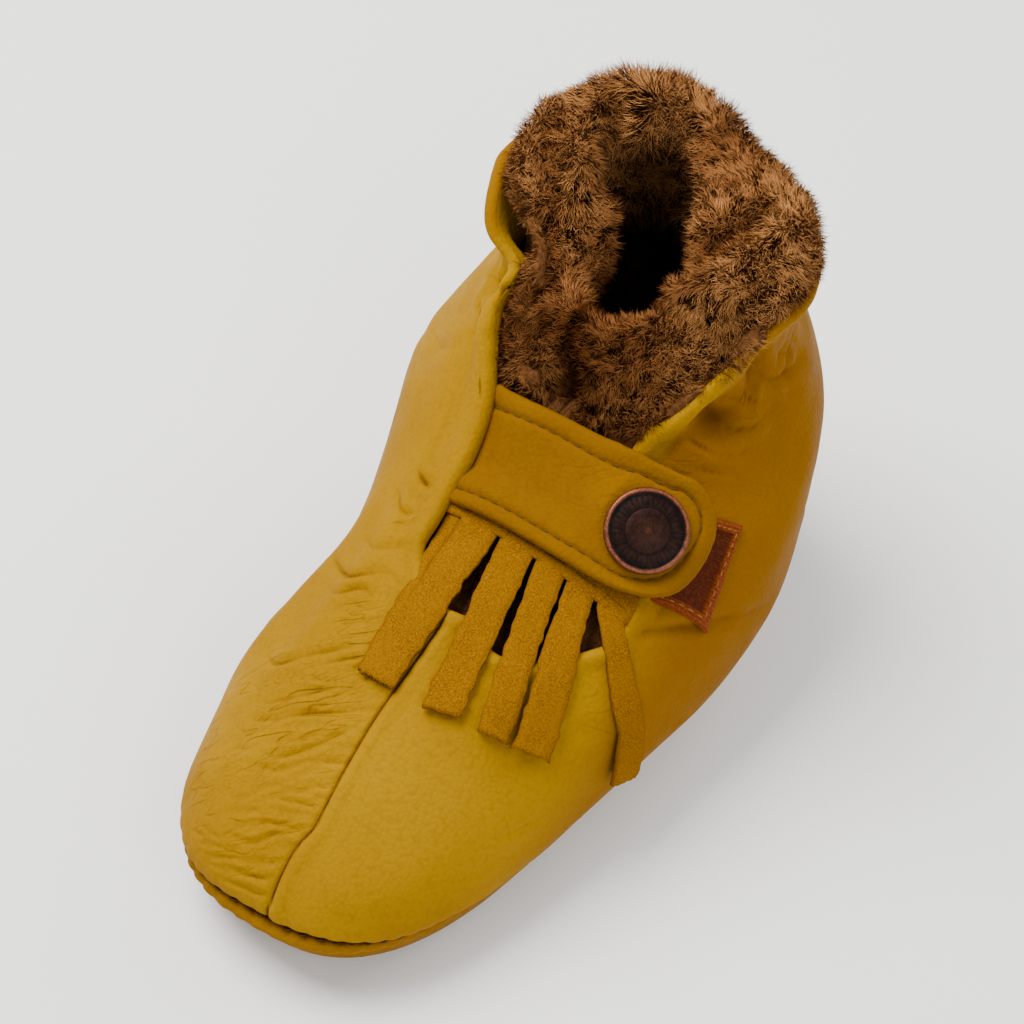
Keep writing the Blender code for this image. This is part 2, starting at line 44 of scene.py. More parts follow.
RNG = np.random.default_rng(41)

# ---- sizes shared with the solid part, mm ---------------------------------------------------------------------
LEATHER, SOLE_LEATHER, GAP = 1.6, 2.4, 0.35
PILE, PILE_COLLAR, PILE_FRONT, INSOLE = 5.6, 12.0, 19.0, 5.6
TOE_SPRING, ARCH = 2.6, 1.2
STRAP_T, STRAP_Y, STRAP_END, STRAP_HALF, STRAP_CORNER = 2.4, (13.3, 18.0), 31.4, 10.4, 10.0
FRINGE_T = 1.1
SNAP_AT = (21.6, 15.9)
CAP_R, CAP_H, SOCKET_R, SOCKET_H, SHANK_R = 7.5, 2.3, 4.6, 1.7, 1.6
TAB_T = 0.7
RIM = 6.0
ARCH_Y = (-30.0, -1.0, 42.0)
RT = np.array([
    # front   back  ball_m ball_l heel_m heel_l  arch   zf    zm    zl    zb    nf    nb   toe
    (-65.6,  69.5,  31.0,  31.8,  31.5,  33.5,   4.0,   9.6,  6.0,  6.2,  6.0,  2.8,  2.6, -1.5),
    (-67.0,  76.0,  32.6,  33.0,  40.0,  42.5,   6.5,  14.0, 17.0, 15.5, 20.0,  2.8,  2.5, -1.5),
    (-61.6,  80.0,  30.0,  31.0,  41.0,  43.0,   7.5,  22.6, 31.0, 30.0, 36.0,  2.5,  2.4, -1.2),
    (-39.5,  80.5,  25.0,  26.5,  41.0,  41.0,   6.0,  34.6, 42.0, 41.0, 50.0,  2.2,  2.3, -0.5),
    (-14.0,  77.5,  20.0,  22.0,  36.0,  35.5,   1.5,  41.0, 53.0, 50.0, 62.0,  2.1,  2.2,  0.0),
    (  9.0,  72.0,  19.0,  19.5,  29.5,  29.5,   0.0,  49.0, 64.0, 63.0, 73.0,  2.0,  2.1,  0.0),
    ( 22.0,  75.0,  28.0,  25.0,  34.5,  30.0,   0.0,  58.0, 78.5, 80.0, 84.0,  2.0,  1.9,  0.0),
])
THROAT = [(3.9, -36.0, 72.0), (4.6, -40.0, 58.0), (5.2, -48.0, 44.0), (6.0, -46.0, 35.0)]
VAMP_EDGE = [(-180, 3.6), (-80, 3.9), (-36, 4.1), (12, 4.05), (72, 3.0), (110, 3.2), (180, 3.6)]
INNER, OUTER = -36.0, 72.0
# ring number of the toe seam by angle: the sole leather turns up further round the toe
SEAM = [(-180, 0.0), (-85, 0.0), (-62, 0.12), (-45, 0.35), (-30, 0.55), (-15, 0.75), (-5, 0.9), (2, 1.0), (15, 1.0),
        (27, 0.85), (45, 0.4), (65, 0.08), (85, 0.0), (180, 0.0)]


def S(x, a, b):
    x = np.clip((np.asarray(x, float) - a) / (b - a), 0, 1)
    return x * x * (3 - 2 * x)


def table(rows, x, column=1):
    return np.interp(x, [r[0] for r in rows], [r[column] for r in rows])


def wrap(deg):
    """Degrees from -180 to 180."""
    return (np.asarray(deg, float) + 180.0) % 360.0 - 180.0


def rings(t):
    c, s = np.cos(t), np.sin(t)
    out = []
    for front, back, ball_m, ball_l, heel_m, heel_l, arch, zf, zm, zl, zb, nf, nb, toe in RT:
        n = np.where(c > 0, nf, nb)
        u = np.sign(c) * np.abs(c) ** (2 / n)
        w = np.sign(s) * np.abs(s) ** (2 / n)
        along = (1 - u) / 2
        y = front + (back - front) * along
        ball = np.where(s > 0, ball_l, ball_m)
        heel = np.where(s > 0, heel_l, heel_m)
        waist = np.where(s < 0, arch * S(y, ARCH_Y[0], ARCH_Y[1]) * (1 - S(y, ARCH_Y[1], ARCH_Y[2])), 0)
        x = w * (ball + (heel - ball) * S(along, 0.15, 0.75) - waist) + toe * np.maximum(0, u) ** 2
        side = np.where(s > 0, zl, zm)
        end = np.where(c > 0, zf, zb)
        out.append(np.stack([x, y, side + (end - side) * S(np.abs(u), 0, 1)], -1))
    return np.array(out)


def last(t, v):
    """The outer face of the upper at angle t (radians) and ring number v, for arrays of either."""
    t, v = np.broadcast_arrays(np.asarray(t, float), np.asarray(v, float))
    shape = t.shape
    t, v = t.ravel(), v.ravel()
    R = rings(t)
    k = np.clip(v.astype(int), 0, len(R) - 2)
    f = (v - k)[:, None]
    a = np.arange(len(t))
    p1, p2 = R[k, a], R[k + 1, a]
    p0 = np.where((k > 0)[:, None], R[np.maximum(k - 1, 0), a], 2 * p1 - p2)
    p3 = np.where((k + 2 < len(R))[:, None], R[np.minimum(k + 2, len(R) - 1), a], 2 * p2 - p1)
    out = 0.5 * (2 * p1 + (p2 - p0) * f + (2 * p0 - 5 * p1 + 4 * p2 - p3) * f * f + (3 * p1 - p0 - 3 * p2 + p3) * f ** 3)
    return out.reshape(*shape, 3)


def unit(a):
    return a / np.maximum(np.linalg.norm(a, axis=-1, keepdims=True), 1e-12)


def last_frame(t, v, e=2e-3):
    t, v = np.broadcast_arrays(np.asarray(t, float), np.asarray(v, float))
    up = unit(last(t, np.minimum(RIM, v + e)) - last(t, np.maximum(0.0, v - e)))
    side = last(t + e, v) - last(t - e, v)
    return last(t, v), unit(np.cross(side, up)), up


# ---- smooth noise -------------------------------------------------------------------------------------------------
LATTICE = np.random.default_rng(7).uniform(-1, 1, (32, 32, 32))


def noise(p, size, seed=0.0):
    """Smooth noise from -1 to 1 at points p (n, 3), with features about size mm across."""
    q = np.asarray(p, float) / size + seed * 7.31 + 1000.0
    i = np.floor(q).astype(int)
    f = q - i
    f = f * f * (3 - 2 * f)
    i0, i1 = i % 32, (i + 1) % 32
    out = 0.0
    for a, ia, wa in ((0, i0, 1 - f), (1, i1, f)):
        for b, ib, wb in ((0, i0, 1 - f), (1, i1, f)):
            for c, ic, wc in ((0, i0, 1 - f), (1, i1, f)):
                out = out + LATTICE[ia[..., 0], ib[..., 1], ic[..., 2]] * wa[..., 0] * wb[..., 1] * wc[..., 2]
    return out


def noise3(p, size, seed=0.0):
    return np.stack([noise(p, size, seed + k * 3.7) for k in range(3)], -1)


# ---- meshes -------------------------------------------------------------------------------------------------------
def build(name, co, quads=(), tris=(), made_of=None, slot=None, smooth=True, recalc=True, attrs=None, node=None):
    """A mesh object from points in mm.  attrs: name -> (kind, array by point)."""
    co = np.asarray(co, float)
    quads = np.asarray(quads, int).reshape(-1, 4)
    tris = np.asarray(tris, int).reshape(-1, 3)
    mesh = bpy.data.meshes.new(name)
    mesh.vertices.add(len(co))
    mesh.vertices.foreach_set("co", (co * MM).astype(np.float32).ravel())
    loops = np.concatenate([quads.ravel(), tris.ravel()]).astype(np.int32)
    mesh.loops.add(len(loops))
    mesh.loops.foreach_set("vertex_index", loops)
    mesh.polygons.add(len(quads) + len(tris))
    starts = np.concatenate([np.arange(len(quads)) * 4, len(quads) * 4 + np.arange(len(tris)) * 3]).astype(np.int32)
    mesh.polygons.foreach_set("loop_start", starts)
    mesh.polygons.foreach_set("use_smooth", np.full(len(mesh.polygons), smooth))
    mesh.update(calc_edges=True)
    mesh.validate()
    for key, (kind, values) in (attrs or {}).items():
        made = mesh.attributes.new(key, kind, "POINT")
        field = {"FLOAT": "value", "FLOAT_VECTOR": "vector", "FLOAT_COLOR": "color"}[kind]
        made.data.foreach_set(field, np.asarray(values, np.float32).ravel())
    if recalc:
        bm = bmesh.new()
        bm.from_mesh(mesh)
        bmesh.ops.recalc_face_normals(bm, faces=bm.faces)
        bm.to_mesh(mesh)
        bm.free()
        mesh.polygons.foreach_set("use_smooth", np.full(len(mesh.polygons), smooth))
    mesh.materials.append(made_of)
    obj = bpy.data.objects.new(name, mesh)
    bpy.context.scene.collection.objects.link(obj)
    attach(obj, "root")
    if node:
        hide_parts(node)
    return obj


def grid_quads(rows, cols, closed=False, base=0, keep=None):
    i, j = np.meshgrid(np.arange(rows - 1), np.arange(cols if closed else cols - 1), indexing="ij")
    if keep is not None:
        m = keep(i, j)
        i, j = i[m], j[m]
    i, j = i.ravel(), j.ravel()
    k = (j + 1) % cols
    return base + np.stack([i * cols + j, i * cols + k, (i + 1) * cols + k, (i + 1) * cols + j], -1)


def box_blur_loop(a, n):
    """Moving average of n along the closed first axis."""
    pad = n // 2
    b = np.concatenate([a[-pad:], a, a[:pad]])
    c = np.cumsum(np.concatenate([np.zeros_like(b[:1]), b]), 0)
    return (c[2 * pad + 1:] - c[:-(2 * pad + 1)]) / (2 * pad + 1)


def catmull(points, per):
    """Closer points along the first axis of an array of control points (open)."""
    p = np.concatenate([2 * points[:1] - points[1:2], points, 2 * points[-1:] - points[-2:-1]])
    out = []
    for k in range(1, len(p) - 2):
        for s in range(per):
            f = s / per
            out.append(0.5 * (2 * p[k] + (p[k + 1] - p[k - 1]) * f + (2 * p[k - 1] - 5 * p[k] + 4 * p[k + 1] - p[k + 2]) * f * f
                              + (3 * p[k] - p[k - 1] - 3 * p[k + 1] + p[k + 2]) * f ** 3))
    out.append(points[-1])
    return np.array(out)


def tube(path, radius, around=6, ends=0.35):
    """A small round stitch or thread along path: points and quads, its ends drawn in to a near point."""
    path = np.asarray(path, float)
    tangent = unit(np.gradient(path, axis=0))
    ref = np.array((0.0, 0.0, 1.0)) if abs(tangent[len(path) // 2][2]) < 0.9 else np.array((1.0, 0.0, 0.0))
    a = unit(np.cross(tangent, ref))
    b = np.cross(tangent, a)
    n = len(path)
    r = np.full(n, radius)
    r[0] *= ends
    r[-1] *= ends
    turn = np.arange(around) * 2 * math.pi / around
    pts = path[:, None] + r[:, None, None] * (a[:, None] * np.cos(turn)[None, :, None] + b[:, None] * np.sin(turn)[None, :, None])
    pts = pts.reshape(-1, 3)
    quads = grid_quads(n, around, True)
    caps = []
    for base in (0, (n - 1) * around):
        for k in range(1, around - 1):
            caps.append((base, base + k, base + k + 1))
    return pts, quads, np.array(caps)


class Heap:
    """Many small closed pieces gathered into one mesh."""

    def __init__(self):
        self.co, self.quads, self.tris, self.n = [], [], [], 0

    def add(self, pts, quads=(), tris=()):
        self.co.append(pts)
        if len(quads):
            self.quads.append(np.asarray(quads) + self.n)
        if len(tris):
            self.tris.append(np.asarray(tris) + self.n)
        self.n += len(pts)

    def build(self, name, made_of, slot, **more):
        return build(name, np.concatenate(self.co), np.concatenate(self.quads) if self.quads else (),
                     np.concatenate(self.tris) if self.tris else (), made_of, slot, **more)


# ---- materials -------------------------------------------------------------------------------------------------------
class Look:
    """A small helper that wires one Principled material."""

    def __init__(self, name):
        self.m = bpy.data.materials.new(name)
        self.m.use_nodes = True
        self.t = self.m.node_tree
        self.s = self.t.nodes["Principled BSDF"]
        self.where = self.t.nodes.new("ShaderNodeTexCoord").outputs["Object"]

    def node(self, kind, **inputs):
        made = self.t.nodes.new(kind)
        for key, value in inputs.items():
            if key.startswith("_"):
                setattr(made, key[1:], value)
            else:
                self.put(made.inputs[key.replace("_", " ")], value)
        return made

    def put(self, socket, value):
        if isinstance(value, bpy.types.NodeSocket):
            self.t.links.new(value, socket)
        else:
            socket.default_value = value

    def noise(self, scale, detail=3.0, rough=0.55, distort=0.0, vector=None):
        n = self.node("ShaderNodeTexNoise", Scale=scale, Detail=detail, Roughness=rough, Distortion=distort)
        self.put(n.inputs["Vector"], vector or self.where)
        return n.outputs["Fac"]

    def cells(self, scale, feature="F1", vector=None, randomness=1.0):
        n = self.node("ShaderNodeTexVoronoi", Scale=scale, Randomness=randomness)
        n.feature = feature
        self.put(n.inputs["Vector"], vector or self.where)
        return n.outputs["Distance"]

    def math(self, op, a, b=0.0, c=0.0):
        n = self.t.nodes.new("ShaderNodeMath")
        n.operation = op
        self.put(n.inputs[0], a)
        self.put(n.inputs[1], b)
        self.put(n.inputs[2], c)
        return n.outputs[0]

    def remap(self, value, a, b, c=0.0, d=1.0, kind="SMOOTHSTEP"):
        n = self.t.nodes.new("ShaderNodeMapRange")
        n.interpolation_type = kind
        self.put(n.inputs["Value"], value)
        for key, x in (("From Min", a), ("From Max", b), ("To Min", c), ("To Max", d)):
            n.inputs[key].default_value = x
        return n.outputs["Result"]

    def attr(self, name, output="Fac"):
        n = self.t.nodes.new("ShaderNodeAttribute")
        n.attribute_name = name
        return n.outputs[output]

    def mapping(self, vector, scale=(1, 1, 1), rotation=(0, 0, 0)):
        n = self.t.nodes.new("ShaderNodeMapping")
        self.put(n.inputs["Vector"], vector)
        n.inputs["Scale"].default_value = scale
        n.inputs["Rotation"].default_value = rotation
        return n.outputs["Vector"]

    def ramp(self, fac, stops):
        n = self.t.nodes.new("ShaderNodeValToRGB")
        while len(n.color_ramp.elements) < len(stops):
            n.color_ramp.elements.new(0.5)
        for e, (at, colour) in zip(n.color_ramp.elements, stops):
            e.position = at
            e.color = (*colour, 1)
        self.put(n.inputs["Fac"], fac)
        return n.outputs["Color"]

    def mix(self, fac, a, b, blend="MIX"):
        n = self.t.nodes.new("ShaderNodeMix")
        n.data_type = "RGBA"
        n.blend_type = blend
        self.put(n.inputs["Factor"], fac)
        self.put(n.inputs[6], (*a, 1) if isinstance(a, tuple) and len(a) == 3 else a)
        self.put(n.inputs[7], (*b, 1) if isinstance(b, tuple) and len(b) == 3 else b)
        return n.outputs[2]

    def bump(self, height, distance=MM, strength=1.0, normal=None):
        """height in mm."""
        n = self.node("ShaderNodeBump", Strength=strength, Distance=distance, Height=height)
        if normal is not None:
            self.put(n.inputs["Normal"], normal)
        return n.outputs["Normal"]

    def done(self, colour, roughness, normal=None, metallic=0.0, **more):
        s = self.s
        self.put(s.inputs["Base Color"], (*colour, 1) if isinstance(colour, tuple) else colour)
        self.put(s.inputs["Roughness"], roughness)
        s.inputs["Metallic"].default_value = metallic
        if normal is not None:
            self.put(s.inputs["Normal"], normal)
        for key, value in more.items():
            self.put(s.inputs[key.replace("_", " ")], value)
        return self.m


# the third colour is the warm tone of the grain and mottling and also the colour of painted shade; the fourth is
# painted shade deep in the creases
GOLD = (0.262, 0.130, 0.0003)
GOLD_PALE = (0.315, 0.165, 0.0004)
GOLD_WARM_AND_SHADE = (0.165, 0.054, 0.0002)
GOLD_CREASE_SHADE = (0.050, 0.012, 0.0001)


def leather_look(name, wrinkles=True, tone=(1.0, 1.0, 1.0)):
    k = Look(name)

    def toned(colour):
        return tuple(c * t for c, t in zip(colour, tone))

    big = k.noise(28.0, 3.0, 0.55)
    mid = k.noise(160.0, 4.0, 0.6)
    fine = k.noise(1500.0, 3.0, 0.6)
    pebble = k.cells(1150.0, "F1", randomness=0.9)
    pores = k.cells(2400.0, "F1")
    gold, pale, warm = toned(GOLD), toned(GOLD_PALE), toned(GOLD_WARM_AND_SHADE)
    colour = k.mix(k.remap(big, 0.35, 0.68), gold, pale)
    colour = k.mix(k.remap(mid, 0.5, 0.85, 0.0, 0.14), colour, warm)
    colour = k.mix(k.remap(pebble, 0.40, 0.90, 0.0, 0.18), colour, warm)
    height = k.math("MULTIPLY", pebble, -0.085)
    height = k.math("MULTIPLY_ADD", fine, 0.035, height)
    height = k.math("MULTIPLY_ADD", pores, -0.012, height)
    if wrinkles:
        mask = k.attr("wrinkle")
        crease = k.attr("crease")
        warm_shade = k.attr("warm")
        # wrinkles run across the inner half of the vamp, towards the outer side and back
        turned = k.mapping(k.where, (1.0, 1.0, 1.0), (0.0, 0.0, math.radians(-34.0)))
        fold = k.mapping(turned, (45.0, 330.0, 140.0))
        a = k.node("ShaderNodeTexNoise", Scale=1.0, Detail=1.0, Roughness=0.4, Distortion=0.0)
        k.put(a.inputs["Vector"], fold)
        line = k.math("ABSOLUTE", k.math("SUBTRACT", a.outputs["Fac"], 0.5))
        line = k.remap(line, 0.0, 0.028, 1.0, 0.0)
        patchy = k.remap(k.noise(110.0, 2.0, 0.5), 0.42, 0.58)
        line = k.math("MULTIPLY", line, patchy)
        fold2 = k.mapping(k.mapping(k.where, (1.0, 1.0, 1.0), (0.0, 0.0, math.radians(-48.0))), (260.0, 1150.0, 700.0))
        b = k.node("ShaderNodeTexNoise", Scale=1.0, Detail=1.0, Roughness=0.4, Distortion=0.0)
        k.put(b.inputs["Vector"], fold2)
        line2 = k.math("ABSOLUTE", k.math("SUBTRACT", b.outputs["Fac"], 0.5))
        line2 = k.math("MULTIPLY", k.remap(line2, 0.0, 0.045, 1.0, 0.0), k.remap(k.noise(190.0, 2.0, 0.5), 0.45, 0.6))
        both = k.math("MULTIPLY_ADD", line2, 0.45, line)
        both = k.math("MULTIPLY", both, mask)
        height = k.math("MULTIPLY_ADD", both, -0.20, height)
        soft = k.math("MULTIPLY", k.math("SUBTRACT", a.outputs["Fac"], 0.5), mask)
        height = k.math("MULTIPLY_ADD", soft, 0.7, height)
        # painted shade: darker and warmer along the wrinkle lines, over the places of the warm mask, and deep in the
        # creases
        colour = k.mix(k.math("MULTIPLY", both, 0.35), colour, warm)
        colour = k.mix(k.math("MULTIPLY", warm_shade, 0.75), colour, warm)
        colour = k.mix(k.remap(crease, 0.12, 1.0, 0.0, 0.9), colour, toned(GOLD_CREASE_SHADE))
    # light handling marks, and a little grey dust in the grain
    rub = k.remap(k.noise(60.0, 6.0, 0.7), 0.62, 0.78, 0.0, 0.2)
    colour = k.mix(rub, colour, toned((0.28, 0.16, 0.0012)))
    rough = k.remap(mid, 0.3, 0.75, 0.52, 0.66)
    return k.done(colour, rough, k.bump(height), Specular_IOR_Level=0.035, Specular_Tint=(1.0, 0.66, 0.10, 1.0))


def suede_look(name):
    k = Look(name)
    nap = k.noise(3400.0, 4.0, 0.7)
    patch = k.noise(420.0, 4.0, 0.65)
    big = k.noise(90.0, 3.0, 0.6)
    colour = k.mix(k.remap(nap, 0.36, 0.66), (0.118, 0.044, 0.0004), (0.285, 0.122, 0.0016))
    colour = k.mix(k.remap(patch, 0.35, 0.7, 0.0, 0.5), colour, (0.20, 0.085, 0.0008))
    colour = k.mix(k.remap(big, 0.4, 0.7, 0.0, 0.35), colour, (0.24, 0.10, 0.001))
    # painted shade along the strips' edges and folds
    colour = k.mix(k.math("MULTIPLY", k.attr("crease"), 0.6), colour, (0.09, 0.03, 0.001))
    height = k.math("MULTIPLY", nap, 0.13)
    height = k.math("MULTIPLY_ADD", patch, 0.15, height)
    return k.done(colour, 1.0, k.bump(height), Specular_IOR_Level=0.02)


def fur_look(name, tip=1.0):
    k = Look(name)
    colour = k.attr("shade", "Color")
    return k.done(colour, 0.9, None, Specular_IOR_Level=0.0)


def pile_look(name, dark=(0.040, 0.016, 0.006), light=(0.105, 0.042, 0.014)):
    k = Look(name)
    a = k.noise(900.0, 4.0, 0.7)
    b = k.noise(220.0, 3.0, 0.6)
    colour = k.mix(k.remap(a, 0.35, 0.7), dark, light)
    colour = k.mix(k.remap(b, 0.35, 0.7, 0.0, 0.6), colour, dark)
    height = k.math("MULTIPLY_ADD", a, 0.35, k.math("MULTIPLY", b, 0.5))
    return k.done(colour, 1.0, k.bump(height), Specular_IOR_Level=0.0)


def thread_look(name, colour, pale):
    k = Look(name)
    twist = k.node("ShaderNodeTexWave", Scale=1500.0, Distortion=2.0)
    k.put(twist.inputs["Vector"], k.where)
    shade = k.mix(k.math("MULTIPLY", twist.outputs["Fac"], 0.5), colour, pale)
    return k.done(shade, 0.7, k.bump(k.math("MULTIPLY", twist.outputs["Fac"], 0.04)), Specular_IOR_Level=0.25)


def tape_look(name):
    k = Look(name)
    flat = k.attr("flat", "Vector")
    ribs = k.node("ShaderNodeTexWave", Scale=0.55, Distortion=0.6, Detail=2.0)
    ribs.bands_direction = "X"
    k.put(ribs.inputs["Vector"], flat)
    weft = k.node("ShaderNodeTexWave", Scale=1.0, Distortion=0.8, Detail=2.0)
    weft.bands_direction = "Y"
    k.put(weft.inputs["Vector"], flat)
    fuzz = k.noise(1800.0, 4.0, 0.7)
    hem = k.attr("hem")
    colour = k.mix(k.remap(fuzz, 0.35, 0.7), (0.055, 0.008, 0.0015), (0.115, 0.020, 0.003))
    colour = k.mix(hem, colour, k.mix(k.remap(fuzz, 0.35, 0.7), (0.14, 0.024, 0.0025), (0.26, 0.055, 0.005)))
    colour = k.mix(k.math("MULTIPLY", ribs.outputs["Fac"], 0.35), colour, (0.03, 0.006, 0.0015))
    height = k.math("MULTIPLY_ADD", ribs.outputs["Fac"], 0.07, k.math("MULTIPLY", weft.outputs["Fac"], 0.05))
    height = k.math("MULTIPLY_ADD", fuzz, 0.06, height)
    return k.done(colour, 0.85, k.bump(height), Specular_IOR_Level=0.12)


def copper_look(name):
    k = Look(name)
    worn = k.attr("worn")
    a = k.noise(700.0, 5.0, 0.65)
    b = k.noise(2600.0, 3.0, 0.6)
    dark = k.mix(k.remap(a, 0.35, 0.7), (0.0022, 0.0016, 0.0016), (0.010, 0.005, 0.004))
    bright = k.mix(k.remap(b, 0.35, 0.7), (0.22, 0.062, 0.028), (0.36, 0.12, 0.062))
    fac = k.math("MULTIPLY", worn, k.remap(a, 0.25, 0.6, 0.55, 1.0))
    colour = k.mix(fac, dark, bright)
    rough = k.remap(b, 0.3, 0.7, 0.38, 0.56)
    return k.done(colour, rough, k.bump(k.math("MULTIPLY_ADD", b, 0.02, k.math("MULTIPLY", a, 0.05))), 0.7, Specular_IOR_Level=0.2)


deer = leather_look("golden_hide")
deer_strap = leather_look("golden_hide_strap", True, (0.62, 0.52, 0.5))
# the sole's copy of the hide is toned darker and warmer: painted shade where it turns under
deer_sole = leather_look("golden_hide_sole", True, (0.78, 0.70, 0.6))
suede = suede_look("split_suede")
fleece = fur_look("brown_fleece")
# the pile under the hairs: a dark brown that is partly its own colour and partly painted shade between the tufts
pile = pile_look("brown_pile", (0.062, 0.025, 0.009), (0.150, 0.062, 0.021))
bed = pile_look("footbed_pile", (0.03, 0.013, 0.006), (0.12, 0.055, 0.024))
thread = thread_look("olive_thread", (0.055, 0.034, 0.004), (0.12, 0.075, 0.008))
thread_dark = thread_look("dark_thread", (0.045, 0.020, 0.004), (0.11, 0.05, 0.008))
thread_rust = thread_look("rust_thread", (0.22, 0.085, 0.008), (0.32, 0.15, 0.02))
tape = tape_look("woven_rust_tape")
copper = copper_look("dark_copper")

# ---- the last as a search tree, the same as the solid's ---------------------------------------------------------------
def last_tree():
    cols, rows = 144, 72
    ts = 2 * math.pi * np.arange(cols) / cols
    T, V = np.meshgrid(ts, RIM * np.arange(rows + 1) / rows)
    points = last(T, V).reshape(-1, 3)
    p, _, up = last_frame(ts, np.full(cols, RIM))
    points = np.concatenate([points, p + up * 8.0])
    quads = grid_quads(rows + 2, cols, True)
    return BVHTree.FromPolygons([Vector(p) for p in points], [tuple(int(i) for i in q) for q in quads])


TREE = last_tree()
UP, DOWN = Vector((0, 0, 1)), Vector((0, 0, -1))


def over(x, y, off=0.0):
    """The point above x, y that stands off the last by off, and the way up from it."""
    hit = TREE.ray_cast(Vector((x, y, 300.0)), DOWN)[0]
    total = Vector((0, 0, 0))
    for dx, dy in ((0, 0), (2, 0), (-2, 0), (0, 2), (0, -2)):
        near = TREE.ray_cast(Vector((x + dx, y + dy, 300.0)), DOWN)
        if near[0] is not None:
            total += near[1] if near[1].z > 0 else -near[1]
    up = np.array(total.normalized())
    return np.array(hit) + up * off, up


def over_many(xy, off):
    out = [over(x, y, o) for (x, y), o in zip(xy, np.broadcast_to(off, len(xy)))]
    return np.array([p for p, _ in out]), np.array([u for _, u in out])


def beside(p, off=0.0):
    hit = TREE.find_nearest(Vector(p))[0]
    total = Vector((0, 0, 0))
    for step in ((0, 0, 0), (1.5, 0, 0), (-1.5, 0, 0), (0, 1.5, 0), (0, -1.5, 0), (0, 0, 1.5), (0, 0, -1.5)):
        normal = TREE.find_nearest(hit + Vector(step))[1]
        total += normal if normal.dot(hit - Vector((0, hit.y, 20))) > 0 else -normal
    up = np.array(total.normalized())
    return np.array(hit) + up * off, up
